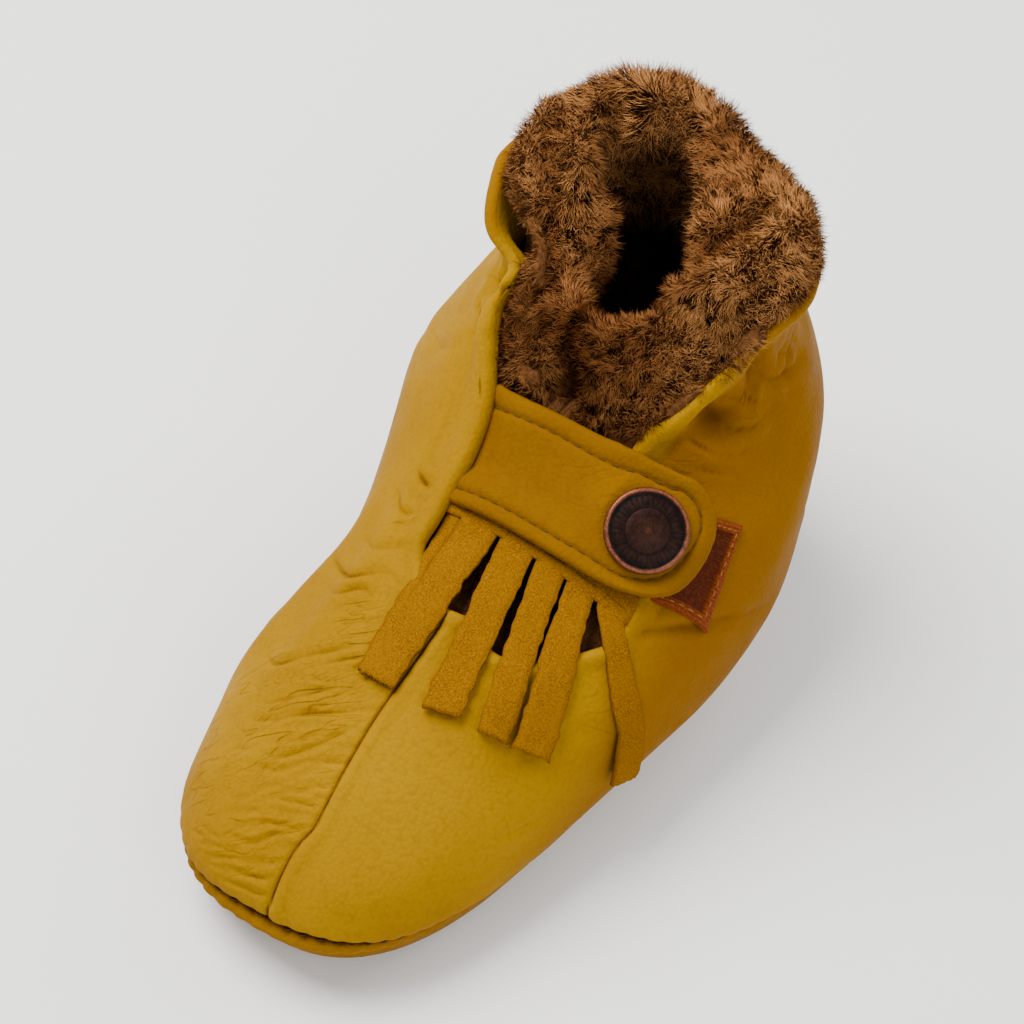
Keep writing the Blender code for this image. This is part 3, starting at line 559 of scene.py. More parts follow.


# ---- creases placed one by one -----------------------------------------------------------------------------------------
# each: points (angle in degrees, ring number), depth, width, ridge beside it, all in mm
CREASES = [
    # long flex folds on the inner half of the vamp
    ([(-60, 2.16), (-46, 2.55), (-32.8, 3.04), (-18.8, 3.5)], 0.55, 0.75, 0.30),
    ([(-30, 2.98), (-22, 3.26), (-12, 3.50)], 0.42, 0.60, 0.20),
    ([(-42.3, 2.36), (-33, 2.62), (-23.3, 2.92), (-14.3, 3.18), (-7.8, 3.32)], 0.50, 0.70, 0.28),
    ([(-38.8, 2.32), (-28, 2.60), (-17.8, 2.88), (-4.3, 3.12), (3.3, 3.24)], 0.50, 0.62, 0.25),
    ([(-25, 2.50), (-15, 2.72), (-6, 2.90), (2.5, 3.0)], 0.34, 0.50, 0.18),
    ([(-20.3, 2.48), (-11.3, 2.68), (-6.3, 2.82), (1.8, 3.1)], 0.42, 0.60, 0.22),
    ([(-30, 2.22), (-20, 2.42), (-11, 2.55), (-5, 2.60)], 0.30, 0.50, 0.15),
    ([(-1.8, 2.6), (1.6, 2.63), (4.8, 2.66)], 0.38, 0.42, 0.15),
    ([(-6.3, 2.70), (-1, 2.77), (5.0, 2.84)], 0.36, 0.42, 0.15),
    ([(-10, 2.38), (-4.8, 2.44), (1.3, 2.50), (5.6, 2.52)], 0.38, 0.45, 0.18),
    ([(-9, 2.20), (-3, 2.28), (2.0, 2.34), (5.3, 2.42)], 0.42, 0.45, 0.20),
    ([(-12, 1.95), (-5.3, 2.04), (-2.3, 2.18), (0.3, 2.28), (4.6, 2.32)], 0.42, 0.48, 0.20),
    ([(-8, 1.78), (-3.4, 1.86), (0.3, 2.0), (3.6, 2.14)], 0.38, 0.45, 0.18),
    ([(-9, 1.60), (-4, 1.66), (0, 1.78), (3.0, 1.96)], 0.36, 0.45, 0.16),
    ([(-5, 1.38), (-2, 1.46), (1, 1.56), (3.2, 1.74)], 0.34, 0.42, 0.16),
    ([(-4.5, 3.02), (0, 3.10), (4.0, 3.14)], 0.30, 0.42, 0.12),
    # gathers by the lower corner of the throat, inner side
    ([(-68.3, 3.62), (-58, 3.92), (-48.3, 4.22)], 0.55, 0.80, 0.35),
    ([(-74.4, 3.14), (-60, 3.55), (-47.3, 4.02)], 0.50, 0.75, 0.35),
    ([(-70.3, 2.8), (-55, 3.35), (-43, 3.80), (-36.5, 4.0)], 0.60, 0.85, 0.38),
    ([(-74.4, 2.4), (-55, 3.05), (-40.3, 3.62), (-30, 3.84)], 0.55, 0.80, 0.32),
    ([(-64.8, 2.58), (-50, 3.06), (-39.8, 3.46), (-28.3, 3.66)], 0.48, 0.70, 0.28),
    ([(-41, 3.30), (-32, 3.50), (-24.3, 3.66)], 0.42, 0.55, 0.22),
    ([(-36, 3.72), (-29, 3.84), (-22, 3.92)], 0.36, 0.50, 0.20),
    ([(-52, 2.2), (-42, 2.45), (-34, 2.75)], 0.30, 0.60, 0.15),
    # two short folds drawn in by the stitched pucker
    ([(-97, 4.62), (-91, 4.86), (-85, 5.06), (-80, 5.22)], 0.85, 0.45, 0.40),
    ([(-86, 4.72), (-81, 4.98), (-78, 5.16), (-74, 5.26)], 0.75, 0.42, 0.35),
    ([(-92, 4.52), (-86, 4.62), (-80, 4.70)], 0.45, 0.45, 0.25),
    ([(-60, 5.90), (-66, 5.55), (-75, 5.18), (-85, 4.86)], 0.95, 0.50, 0.50),
    ([(-66, 5.95), (-72, 5.62), (-80, 5.30), (-89, 5.04)], 0.90, 0.46, 0.45),
    ([(-56, 5.62), (-62, 5.30), (-71, 4.94), (-79, 4.66)], 0.70, 0.45, 0.40),
    # outer side: the pocket between the throat and the heel, and its wrinkles
    ([(62, 5.60), (72, 5.25), (82.4, 4.92), (90.4, 4.86)], 2.70, 2.90, 0.90),
    ([(66, 5.72), (77, 5.34), (86, 5.12), (92, 5.16)], 0.40, 0.70, 0.25),
    ([(78, 5.95), (85.9, 5.5), (93.4, 4.98)], 1.60, 1.60, 0.80),
    ([(86.9, 5.48), (99, 5.06), (112.9, 4.70), (124, 4.40)], 0.55, 1.00, 0.35),
    ([(84, 4.80), (94, 4.62), (104, 4.60)], 0.40, 0.80, 0.25),
    ([(80, 4.66), (88, 4.46), (96, 4.36)], 0.34, 0.60, 0.22),
    ([(90, 5.70), (100, 5.35), (112, 5.05), (126, 4.85)], 0.45, 0.90, 0.30),
    ([(74, 5.32), (80, 5.02), (88, 4.76)], 0.50, 0.50, 0.30),
    ([(78, 5.46), (84, 5.16), (93, 4.90)], 0.45, 0.50, 0.25),
    ([(70, 5.06), (77, 4.80), (84, 4.56)], 0.45, 0.50, 0.25),
    ([(84, 5.32), (90, 5.06), (98, 4.82)], 0.40, 0.50, 0.20),
    ([(72, 4.72), (80, 4.48), (90, 4.22)], 0.35, 0.60, 0.20),
    # the slit below the strap's end and the soft fold that runs on from it
    ([(71, 3.12), (76, 2.98), (82.9, 2.78), (89.9, 2.52), (97, 2.12)], 1.15, 1.10, 0.45),
    ([(92, 2.40), (100.4, 1.90), (110.9, 1.36)], 0.45, 1.60, 0.25),
    ([(62, 2.55), (72, 2.30), (80, 1.95)], 0.30, 1.30, 0.18),
    ([(45, 1.70), (52, 1.50), (60, 1.42)], 0.22, 0.80, 0.12),
    ([(52, 1.95), (60, 1.72), (70, 1.55)], 0.22, 0.80, 0.12),
    # soft folds of the heel quarter, both sides
    ([(118, 2.10), (128, 1.75), (140, 1.55)], 0.35, 1.50, 0.20),
    ([(150, 4.95), (165, 5.05), (180, 5.02), (195, 5.06), (210, 4.95)], 0.50, 1.40, 0.25),
    ([(140, 4.55), (160, 4.75), (185, 4.80), (205, 4.70)], 0.35, 1.20, 0.20),
    ([(-145, 4.85), (-128, 4.98), (-112, 5.02), (-100, 4.98)], 0.60, 1.30, 0.30),
    ([(-140, 4.45), (-122, 4.62), (-104, 4.72), (-92, 4.80)], 0.45, 1.20, 0.25),
    ([(-100, 3.4), (-92, 3.7), (-84, 4.15), (-78, 4.6)], 0.45, 1.30, 0.25),
    ([(-118, 2.6), (-106, 2.9), (-96, 3.3)], 0.30, 1.40, 0.18),
    ([(-88, 1.5), (-78, 1.85), (-66, 2.05)], 0.28, 1.20, 0.15),
]
# finer creases between them, nearly side by side
fine_rng = np.random.default_rng(23)
for _ in range(74):
    at_v = fine_rng.uniform(1.25, 3.65)
    at_deg = fine_rng.uniform(-44, -7) * (0.62 if at_v < 1.9 else 1.0)
    far = fine_rng.uniform(7, 19) * (0.75 if at_v < 1.9 else 1.0)
    far = min(far, 1.0 - at_deg)
    rise = (0.040 - 0.008 * (at_v - 1.2)) * fine_rng.uniform(0.6, 1.25)
    bend = fine_rng.normal() * 0.035
    if at_v + rise * far < 3.75:
        CREASES.append(([(at_deg, at_v), (at_deg + far * 0.35, at_v + rise * far * 0.35 + bend), (at_deg + far * 0.7, at_v + rise * far * 0.7 - bend * 0.6),
                         (at_deg + far, at_v + rise * far)], fine_rng.uniform(0.12, 0.30), fine_rng.uniform(0.36, 0.50), fine_rng.uniform(0.04, 0.12)))
# the centre seam of the vamp, from the toe seam to the throat
CENTRE = [(2.6, 1.02), (2.8, 1.32), (3.3, 1.72), (3.5, 2.2), (5.2, 2.40), (4.8, 2.66), (4.3, 2.92), (3.6, 3.36), (3.0, 4.05)]


def trace(points, step=0.3):
    """A curve on the last through points given by angle and ring number, closely divided."""
    pts = np.array(points, float)
    fine = catmull(pts, 24) if len(pts) > 2 else np.linspace(pts[0], pts[-1], 40)
    xyz = last(np.radians(fine[:, 0]), fine[:, 1])
    s = np.concatenate([[0], np.cumsum(np.linalg.norm(np.diff(xyz, axis=0), axis=1))])
    n = max(4, int(s[-1] / step))
    at = np.linspace(0, s[-1], n)
    tv = np.stack([np.interp(at, s, fine[:, 0]), np.interp(at, s, fine[:, 1])], -1)
    return last(np.radians(tv[:, 0]), tv[:, 1]), s[-1], tv


def near_line(P, line, reach):
    """Which points are within reach of a line, how far, the nearest index and the side."""
    lo, hi = line.min(0) - reach, line.max(0) + reach
    m = np.where(((P > lo) & (P < hi)).all(1))[0]
    if not len(m):
        return m, None, None
    d = np.empty(len(m))
    k = np.empty(len(m), int)
    for a in range(0, len(m), 4000):
        q = P[m[a:a + 4000]]
        D = ((q[:, None] - line[None]) ** 2).sum(-1)
        k[a:a + 4000] = D.argmin(1)
        d[a:a + 4000] = np.sqrt(D.min(1))
    near = d < reach
    return m[near], d[near], k[near]


def crease_field(P):
    """Displacement along the normal, and painted shade by how deep in the creases, for points P on the last."""
    out = np.zeros(len(P))
    painted_shade = np.zeros(len(P))
    for points, depth, width, ridge in CREASES:
        line, length, _ = trace(points)
        reach = width * 4.2
        m, d, k = near_line(P, line, reach)
        if not len(m):
            continue
        s = k / (len(line) - 1)
        taper = np.sin(math.pi * np.clip(s, 0, 1)) ** 0.7
        wander = 0.75 + 0.35 * noise(P[m], 5.0, depth * 10)
        shape = -depth * np.exp(-(d / width) ** 2) + ridge * np.exp(-((d - 2.1 * width) / (1.1 * width)) ** 2)
        out[m] += shape * taper * wander
        deep = np.exp(-(d / (0.75 * width)) ** 2) * taper * wander * min(1.0, depth / 0.55) * (1.0 if width < 1.0 else 0.55)
        painted_shade[m] = np.maximum(painted_shade[m], deep)
    return out, painted_shade


# ---- the upper: one skin of hide with rolled edges ----------------------------------------------------------------
def mm_per_degree(deg, v):
    t = np.radians(deg)
    return np.linalg.norm(last(t + 0.004, v) - last(t - 0.004, v), axis=-1) / math.degrees(0.008)


def mm_per_ring(deg, v):
    t = np.radians(deg)
    a, b = np.clip(v - 0.02, 0, 6), np.clip(v + 0.02, 0, 6)
    return np.linalg.norm(last(t, b) - last(t, a), axis=-1) / (b - a)


def spread(a, b, n, weight):
    x = np.linspace(a, b, 1441)
    w = mm_per_degree(x, 2.0) * weight(x)
    c = np.concatenate([[0], np.cumsum((w[1:] + w[:-1]) / 2)])
    return np.interp(np.linspace(0, c[-1], n + 1), c, x)


N_THROAT, N_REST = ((172, 248))
N_LOW, N_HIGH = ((140, 44))
R_IN, R_OUT, R_VAMP, R_RIM = 2.1, 1.6, 1.15, 1.35

heavy = lambda x: np.where((wrap(x) > -75) & (wrap(x) < 40), 1.0, 0.72)
cols = np.concatenate([spread(INNER, OUTER, N_THROAT, heavy)[:-1], spread(OUTER, 324.0, N_REST, heavy)[:-1]])
NC = len(cols)
DEG = wrap(cols)
DEG[0] = INNER
# rows: close together over the vamp
low_r = np.interp(np.linspace(0, 1, N_LOW + 1), [0, 0.04, 0.10, 0.27, 1.0], [0, 0.02, 0.09, 0.36, 1.0])


def throat_place(row_share, high):
    """Angles and ring numbers of the grid: row by row."""
    edge = table(VAMP_EDGE, DEG)
    inside = S(DEG, INNER - 14, INNER) * (1 - S(DEG, OUTER, OUTER + 14))
    edge = edge - inside * R_VAMP / mm_per_ring(DEG, edge)
    v0 = table(SEAM, DEG)
    out_t, out_v = [], []
    for r in row_share:
        out_t.append(DEG.copy())
        out_v.append(v0 + (edge - v0) * r)
    top = RIM - R_RIM / mm_per_ring(DEG, 5.95)
    for h in high:
        v = edge + (top - edge) * h
        t = DEG.copy()
        grow = S(v - edge, 0.0, 0.45)
        out_edge = table(THROAT, v, 2) + grow * R_OUT / mm_per_degree(table(THROAT, v, 2), v)
        in_edge = table(THROAT, v, 1) - grow * R_IN / mm_per_degree(table(THROAT, v, 1), v)
        m = DEG >= OUTER - 1e-6
        t[m] += ((out_edge - OUTER) * (180 - DEG) / (180 - OUTER))[m]
        m = DEG <= INNER + 1e-6
        t[m] += ((in_edge - INNER) * (180 + DEG) / (180 + INNER))[m]
        out_t.append(t)
        out_v.append(v)
    return np.array(out_t), np.array(out_v)


TD, VV = throat_place(low_r, np.arange(1, N_HIGH + 1) / N_HIGH)
NR = len(TD)
P0, NORM, UPT = last_frame(np.radians(TD), VV)


def in_throat(i, j, low, n_throat):
    return (i >= low) & (j < n_throat)


# the closed loop of the rim, the throat's outer edge, the vamp's edge and the throat's inner edge
loop = []
for j in range(N_THROAT, NC):
    loop.append((NR - 1, j))
loop.append((NR - 1, 0))
for i in range(NR - 2, N_LOW, -1):
    loop.append((i, 0))
for j in range(0, N_THROAT + 1):
    loop.append((N_LOW, j))
for i in range(N_LOW + 1, NR - 1):
    loop.append((i, N_THROAT))
loop = np.array(loop)
LI, LJ = loop[:, 0], loop[:, 1]
EDGE = P0[LI, LJ]
kind = np.full(len(loop), R_RIM)
# the rim turns out in a broad soft roll on the inner side
BAND = S(-DEG, 84.0, 97.0) * (1 - S(-DEG, 118.0, 134.0))
kind = np.where(LI == NR - 1, R_RIM + 0.5 * BAND[LJ], kind)
kind[(LI < NR - 1) & (LJ == 0)] = R_IN
kind[(LI == N_LOW)] = R_VAMP
kind[(LI < NR - 1) & (LI > N_LOW) & (LJ == N_THROAT)] = R_OUT
blur = 15
RAD = box_blur_loop(box_blur_loop(kind, blur), blur)

flatP = P0.reshape(-1, 3)
flatN = NORM.reshape(-1, 3)
edge_d = np.full(len(flatP), 99.0)
edge_k = np.zeros(len(flatP), int)
E32 = EDGE.astype(np.float32)
for a in range(0, len(flatP), 6000):
    q = flatP[a:a + 6000].astype(np.float32)
    D = ((q[:, None] - E32[None]) ** 2).sum(-1)
    edge_k[a:a + 6000] = D.argmin(1)
    edge_d[a:a + 6000] = np.sqrt(D.min(1))
rad = RAD[edge_k]
puff = (2 * rad - LEATHER) * (1 - S(edge_d, 0.2, 2.4 * rad))
fold = -0.32 * np.exp(-((edge_d - 2.7 * rad) / 0.8) ** 2) * S(rad, 1.2, 1.6)
roll_wrinkle = 0.16 * noise(flatP * np.array((1.0, 1.0, 1.0)), 2.2, 5) * (1 - S(edge_d, 3, 8)) * S(rad, 1.2, 1.6)

crease_out, crease_cav = crease_field(flatP)

# the centre seam: the inner side tucks under, the outer side stands a little proud
line, _, _ = trace(CENTRE, 0.2)
cm, cd, ck = near_line(flatP, line, 7.0)
tangent = unit(np.gradient(line, axis=0))
side = np.einsum("ij,ij->i", flatP[cm] - line[ck], unit(np.cross(tangent[ck], flatN[cm])))  # + on the inner side
side = -side if np.mean(side * flatP[cm][:, 0]) > 0 else side
seam_out = np.zeros(len(flatP))
cut = -0.66 * np.exp(-(cd / 0.30) ** 2)
proud = np.where(side < 0, 0.34 * np.exp(-((cd - 1.5) / 1.1) ** 2), 0.10 * np.exp(-((cd - 1.6) / 1.2) ** 2))
along = np.concatenate([[0], np.cumsum(np.linalg.norm(np.diff(line, axis=0), axis=1))])[ck]
beat = 0.5 + 0.5 * np.sin(2 * math.pi * along / 3.3 + 1.3 * noise(line[ck], 6.0, 3))
tuck = np.where(side > 0, -0.22 * beat * np.exp(-((cd - 1.0) / 1.6) ** 2), -0.05 * beat * np.exp(-((cd - 0.9) / 0.9) ** 2))
seam_out[cm] = cut + proud + tuck
seam_shade = np.zeros(len(flatP))
seam_shade[cm] = np.exp(-(cd / 0.30) ** 2)

# broad shapes: soft undulation, elastic gathers round the waist, the pucker and the edge that rolls in to the seam
deg_f, v_f = wrap(TD.reshape(-1)), VV.reshape(-1)
soft = 0.45 * noise(flatP, 17.0, 1) + 0.20 * noise(flatP, 7.0, 2)
calm = 1 - 0.75 * S(deg_f, 6, 20) * (1 - S(deg_f, 40, 60)) * (1 - S(v_f, 3.2, 3.8))  # the outer half of the vamp is smooth
arc = np.radians(deg_f) * 34.0
back = S(np.abs(deg_f), 78, 105)
gather = 0.42 * np.sin(2 * math.pi * (arc / 5.6) + 2.2 * noise(flatP, 9.0, 6)) * np.exp(-((v_f - 5.05) / 0.55) ** 2) * back
gather += 0.20 * np.sin(2 * math.pi * (arc / 3.1) + 2.0 * noise(flatP, 6.0, 8)) * np.exp(-((v_f - 5.0) / 0.35) ** 2) * back
v_seam = table(SEAM, deg_f)
above = (v_f - v_seam) * mm_per_ring(deg_f, np.clip(v_seam + 0.1, 0, 6))
rollin = -0.85 * (1 - S(above, 0.0, 1.3)) ** 1.5 + 0.18 * np.exp(-((above - 2.3) / 1.2) ** 2)
toe_side = (1 - S(np.abs(deg_f - 2), 34, 60))
arc_toe = np.cumsum(np.concatenate([[0], np.linalg.norm(np.diff(last(np.radians(np.linspace(-180, 180, 721)), 0.6), axis=0), axis=1)]))
arc_at = np.interp(deg_f, np.linspace(-180, 180, 721), arc_toe)
pucker = -0.26 * (0.5 + 0.5 * np.sin(2 * math.pi * arc_at / 3.4 + 1.8 * noise(flatP, 8.0, 11))) ** 2 * np.exp(-(above / 2.4) ** 2) * (0.25 + 0.75 * toe_side)

# the stitched pucker where the rim meets the inner throat edge
PUCKER_AT = last(math.radians(-87.0), 4.98)
pd = np.linalg.norm(flatP - PUCKER_AT, axis=1)
axis_p = unit(np.array((0.25, -0.35, 0.9)))
q = flatP - PUCKER_AT
up_p = q @ axis_p
knot = (-1.1 * np.exp(-(pd / 3.4) ** 2) + 0.45 * np.exp(-((pd - 5.2) / 1.8) ** 2)
        + 0.42 * np.sin(2 * math.pi * up_p / 2.6) * np.exp(-(pd / 3.6) ** 2))
flare = 1.5 * (1 - S(edge_d, 0.5, 8.0)) * S(-deg_f, 86.0, 100.0) * (1 - S(-deg_f, 118.0, 138.0)) * S(v_f, 4.6, 5.6)

NOTCH_AT = last(math.radians(-68.0), 5.7)
notch = -3.9 * np.exp(-(np.linalg.norm(flatP - NOTCH_AT, axis=1) / 5.0) ** 2)
drawn_d = np.linalg.norm(flatP - last(math.radians(-63.4), 5.93), axis=1)
DRAWN = np.array((0.81, 0.59, 0.0)) * (4.2 * np.exp(-(drawn_d / 4.8) ** 2))[:, None]
disp = (puff + fold + roll_wrinkle + crease_out + seam_out + soft * calm * 0.8 + gather + rollin + pucker + knot
        + flare + notch)
near_edge = 1 - S(edge_d, 0.3, 3.0)
disp_low = puff + (disp - puff) * (1 - 0.55 * near_edge)
OUT = flatP + flatN * disp_low[:, None] + DRAWN
# painted shade: darker in the creases, in the cut of the centre seam, along the toe seam, round the pucker and the
# drawn gather, and in the outer pocket
cavity_shade = np.clip(np.maximum(crease_cav * (1 - near_edge), seam_shade) + 0.45 * np.exp(-(above / 0.6) ** 2)
                 + 0.35 * np.exp(-(pd / 2.0) ** 2) + 0.25 * np.exp(-(drawn_d / 3.0) ** 2)
                 + 0.22 * S(deg_f, 66, 76) * (1 - S(deg_f, 92, 104)) * np.exp(-((v_f - 4.95) / 0.35) ** 2), 0, 1)
wrinkle = (S(deg_f, -75, -45) * (1 - S(deg_f, 1.5, 4.5)) * S(v_f, 1.1, 1.7) * (1 - S(v_f, 3.9, 4.3))
           + 0.35 * S(deg_f, 60, 80) * (1 - S(deg_f, 120, 150)) * S(v_f, 0.9, 2.0) * (1 - S(v_f, 4.6, 5.4))
           + 0.45 * S(deg_f, 62, 74) * (1 - S(deg_f, 110, 130)) * np.exp(-((v_f - 4.9) / 0.5) ** 2)
           + 0.35 * S(-deg_f, 70, 95) * S(v_f, 0.8, 1.6))
wrinkle = np.clip(wrinkle * (0.65 + 0.5 * noise(flatP, 14.0, 9)), 0, 1)
# painted shade, warm and dark: the outer pocket and quarter, the inner rim by the fur, the lower sides, and along the
# toe seam
warm = np.clip(1.0 * S(deg_f, 58, 72) * (1 - S(deg_f, 100, 128)) * np.exp(-((v_f - 4.95) / 0.6) ** 2)
               + 0.92 * S(deg_f, 60, 92) * (1 - 0.5 * S(deg_f, 122, 150)) * (1 - 0.3 * S(v_f, 4.0, 5.0))
               + 0.75 * (1 - S(edge_d, 1.0, 6.0)) * S(-deg_f, 64, 78) * (1 - S(-deg_f, 122, 140))
               + 0.55 * S(-deg_f, 48, 80) * (1 - S(v_f, 1.2, 3.4))
               + 0.35 * (1 - S(v_f, 0.8, 1.8)) * S(np.abs(deg_f), 20, 50)
               + 0.25 * (1 - S(above, 0, 3.0)), 0, 1)
# flat coordinates in mm: round the shoe, and up it
around_mm = np.interp(deg_f, np.linspace(-180, 180, 721),
                      np.cumsum(np.concatenate([[0], np.linalg.norm(np.diff(last(np.radians(np.linspace(-180, 180, 721)), 2.2), axis=0), axis=1)])))
up_mm = np.zeros((NR, NC))
up_mm[1:] = np.cumsum(np.linalg.norm(np.diff(P0, axis=0), axis=2), axis=0)
flat_uv = np.stack([around_mm, up_mm.reshape(-1), np.zeros(len(flatP))], -1)


def build_upper():
    OUTG = OUT.reshape(NR, NC, 3)
    quads = [grid_quads(NR, NC, True, 0, lambda i, j: ~in_throat(i, j, N_LOW, N_THROAT))]
    co = [OUT]
    n = NR * NC
    # the rolled edge: half a circle from the outer face to the inner
    p = OUTG[LI, LJ]
    nrm = NORM[LI, LJ]
    tan = unit(box_blur_loop(np.roll(p, -1, 0) - np.roll(p, 1, 0), 5))
    e = unit(np.cross(tan, nrm))
    # outward from the hide, into the opening: away from the grid's interior
    centre_of = np.array((0.0, 20.0, 60.0))
    inner_pt = P0[np.clip(LI - np.where(LI == NR - 1, 3, 0) - np.where(LI == N_LOW, 3, 0), 0, NR - 1),
                  np.where((LI > N_LOW) & (LI < NR - 1) & (LJ == 0), NC - 3,
                           np.where((LI > N_LOW) & (LI < NR - 1) & (LJ == N_THROAT), N_THROAT + 3, LJ))]
    sign = np.sign(np.einsum("ij,ij->i", e, p - inner_pt))
    e = e * (1.0 if np.median(sign) > 0 else -1.0)
    e = unit(box_blur_loop(e, 9))
    e = unit(e - nrm * np.einsum("ij,ij->i", e, nrm)[:, None])
    K = 8
    ring_base = []
    L = len(loop)
    for k in range(1, K):
        th = math.pi * k / K
        c = p - nrm * RAD[:, None]
        co.append(c + RAD[:, None] * (nrm * math.cos(th) + e * math.sin(th)))
        ring_base.append(n)
        n += L
    first = LI * NC + LJ
    idx = np.arange(L)
    nxt = (idx + 1) % L
    rows_idx = [first] + [b + idx for b in ring_base]
    for a, b in zip(rows_idx, rows_idx[1:]):
        quads.append(np.stack([a[idx], a[nxt], b[nxt], b[idx]], -1))
    # inner face: every second row and column of the grid
    ri, cj = np.arange(0, NR, 2), np.arange(0, NC, 2)
    half_low, half_throat = N_LOW // 2, N_THROAT // 2
    back_off = (LEATHER + np.minimum(disp_low - puff, 0.15) * -1 * 0).reshape(NR, NC)
    inner = P0 - NORM * (LEATHER - 0.0 * back_off)[..., None]
    inner = inner + NORM * (np.minimum(disp_low - puff, 0.0) * 0.8).reshape(NR, NC)[..., None]
    inner = inner + DRAWN.reshape(NR, NC, 3)
    # the edge's inner row follows the roll exactly
    inner[LI, LJ] = p - nrm * 2 * RAD[:, None]
    sub = inner[np.ix_(ri, cj)]
    base = n
    co.append(sub.reshape(-1, 3))
    n += sub.shape[0] * sub.shape[1]
    wide = len(cj)
    quads.append(grid_quads(len(ri), wide, True, base, lambda i, j: ~in_throat(i, j, half_low, half_throat))[:, ::-1])
    tris = []
    # join the roll's last row to the coarse inner edge, two to one
    even = (LI % 2 == 0) & (LJ % 2 == 0)
    last_row = rows_idx[-1]
    coarse = lambda i, j: base + (i // 2) * wide + (j // 2) % wide
    ks = np.where(even)[0]
    for a in range(len(ks)):
        k0, k1 = ks[a], ks[(a + 1) % len(ks)]
        steps = (k1 - k0) % L
        c0, c1 = coarse(LI[k0], LJ[k0]), coarse(LI[k1], LJ[k1])
        seq = [last_row[(k0 + s) % L] for s in range(steps + 1)]
        half = steps // 2
        for s in range(steps):
            tris.append((seq[s], seq[s + 1], c0 if s < max(1, half) else c1))
        tris.append((c0, seq[max(1, half)], c1))
    # the bottom edge, the same way
    for a in range(wide):
        j0 = cj[a]
        c0, c1 = base + a, base + (a + 1) % wide
        s0, s1, s2 = j0, (j0 + 1) % NC, (j0 + 2) % NC
        tris += [(s0, s1, c0), (s1, s2, c1), (c0, s1, c1)]
    co = np.concatenate(co)
    full = np.zeros(len(co))
    painted_shade = full.copy(); painted_shade[:len(OUT)] = cavity_shade
    wri = full.copy(); wri[:len(OUT)] = wrinkle
    wrm = full.copy(); wrm[:len(OUT)] = warm
    uv = np.zeros((len(co), 3)); uv[:len(OUT)] = flat_uv
    for b in ring_base:
        uv[b:b + L] = flat_uv[first]
        wrm[b:b + L] = warm[first]
    # leave out the grid points of the throat, which no face uses
    quads = np.concatenate(quads)
    tris = np.array(tris)
    used = np.zeros(len(co), bool)
    used[quads.ravel()] = True
    used[tris.ravel()] = True
    new = np.cumsum(used) - 1
    attrs = {"crease": ("FLOAT", painted_shade[used]), "wrinkle": ("FLOAT", wri[used]), "warm": ("FLOAT", wrm[used]),
             "flat": ("FLOAT_VECTOR", uv[used])}
    return build("upper_hide", co[used], new[quads], new[tris], deer, "deerskin", attrs=attrs, node="upper")


# ---- the sole ---------------------------------------------------------------------------------------------------------
def ground(x, y):
    spring = TOE_SPRING * S(-y, 40, 66) ** 1.3
    arch = ARCH * S(y, -8, 8) * (1 - S(y, 14, 30)) * S(-x, 16, 26)
    return spring + arch


def ring0(t):
    return rings(t)[0]


def sole_ring(deg, inset, share, lift=0.0):
    t = np.radians(deg)
    p = ring0(t)
    q, r = ring0(t + 1e-3), ring0(t - 1e-3)
    across = unit(np.stack([q[:, 1] - r[:, 1], r[:, 0] - q[:, 0], np.zeros(len(t))], -1))
    sign = np.where((across[:, :2] * p[:, :2]).sum(1) > 0, -1.0, 1.0)
    foot = p + across * (sign * inset)[:, None]
    z = ground(foot[:, 0], foot[:, 1])
    return np.stack([foot[:, 0], foot[:, 1], z + (p[:, 2] - z) * share + lift], -1)


# how far the sole's side swells out under the toe seam, mm
SOLE_FULL = [(-180, 0.0), (-66, 0.0), (-50, 0.25), (-36, 0.8), (-20, 1.3), (0, 1.2), (18, 0.8), (36, 0.4), (55, 0.0), (180, 0.0)]


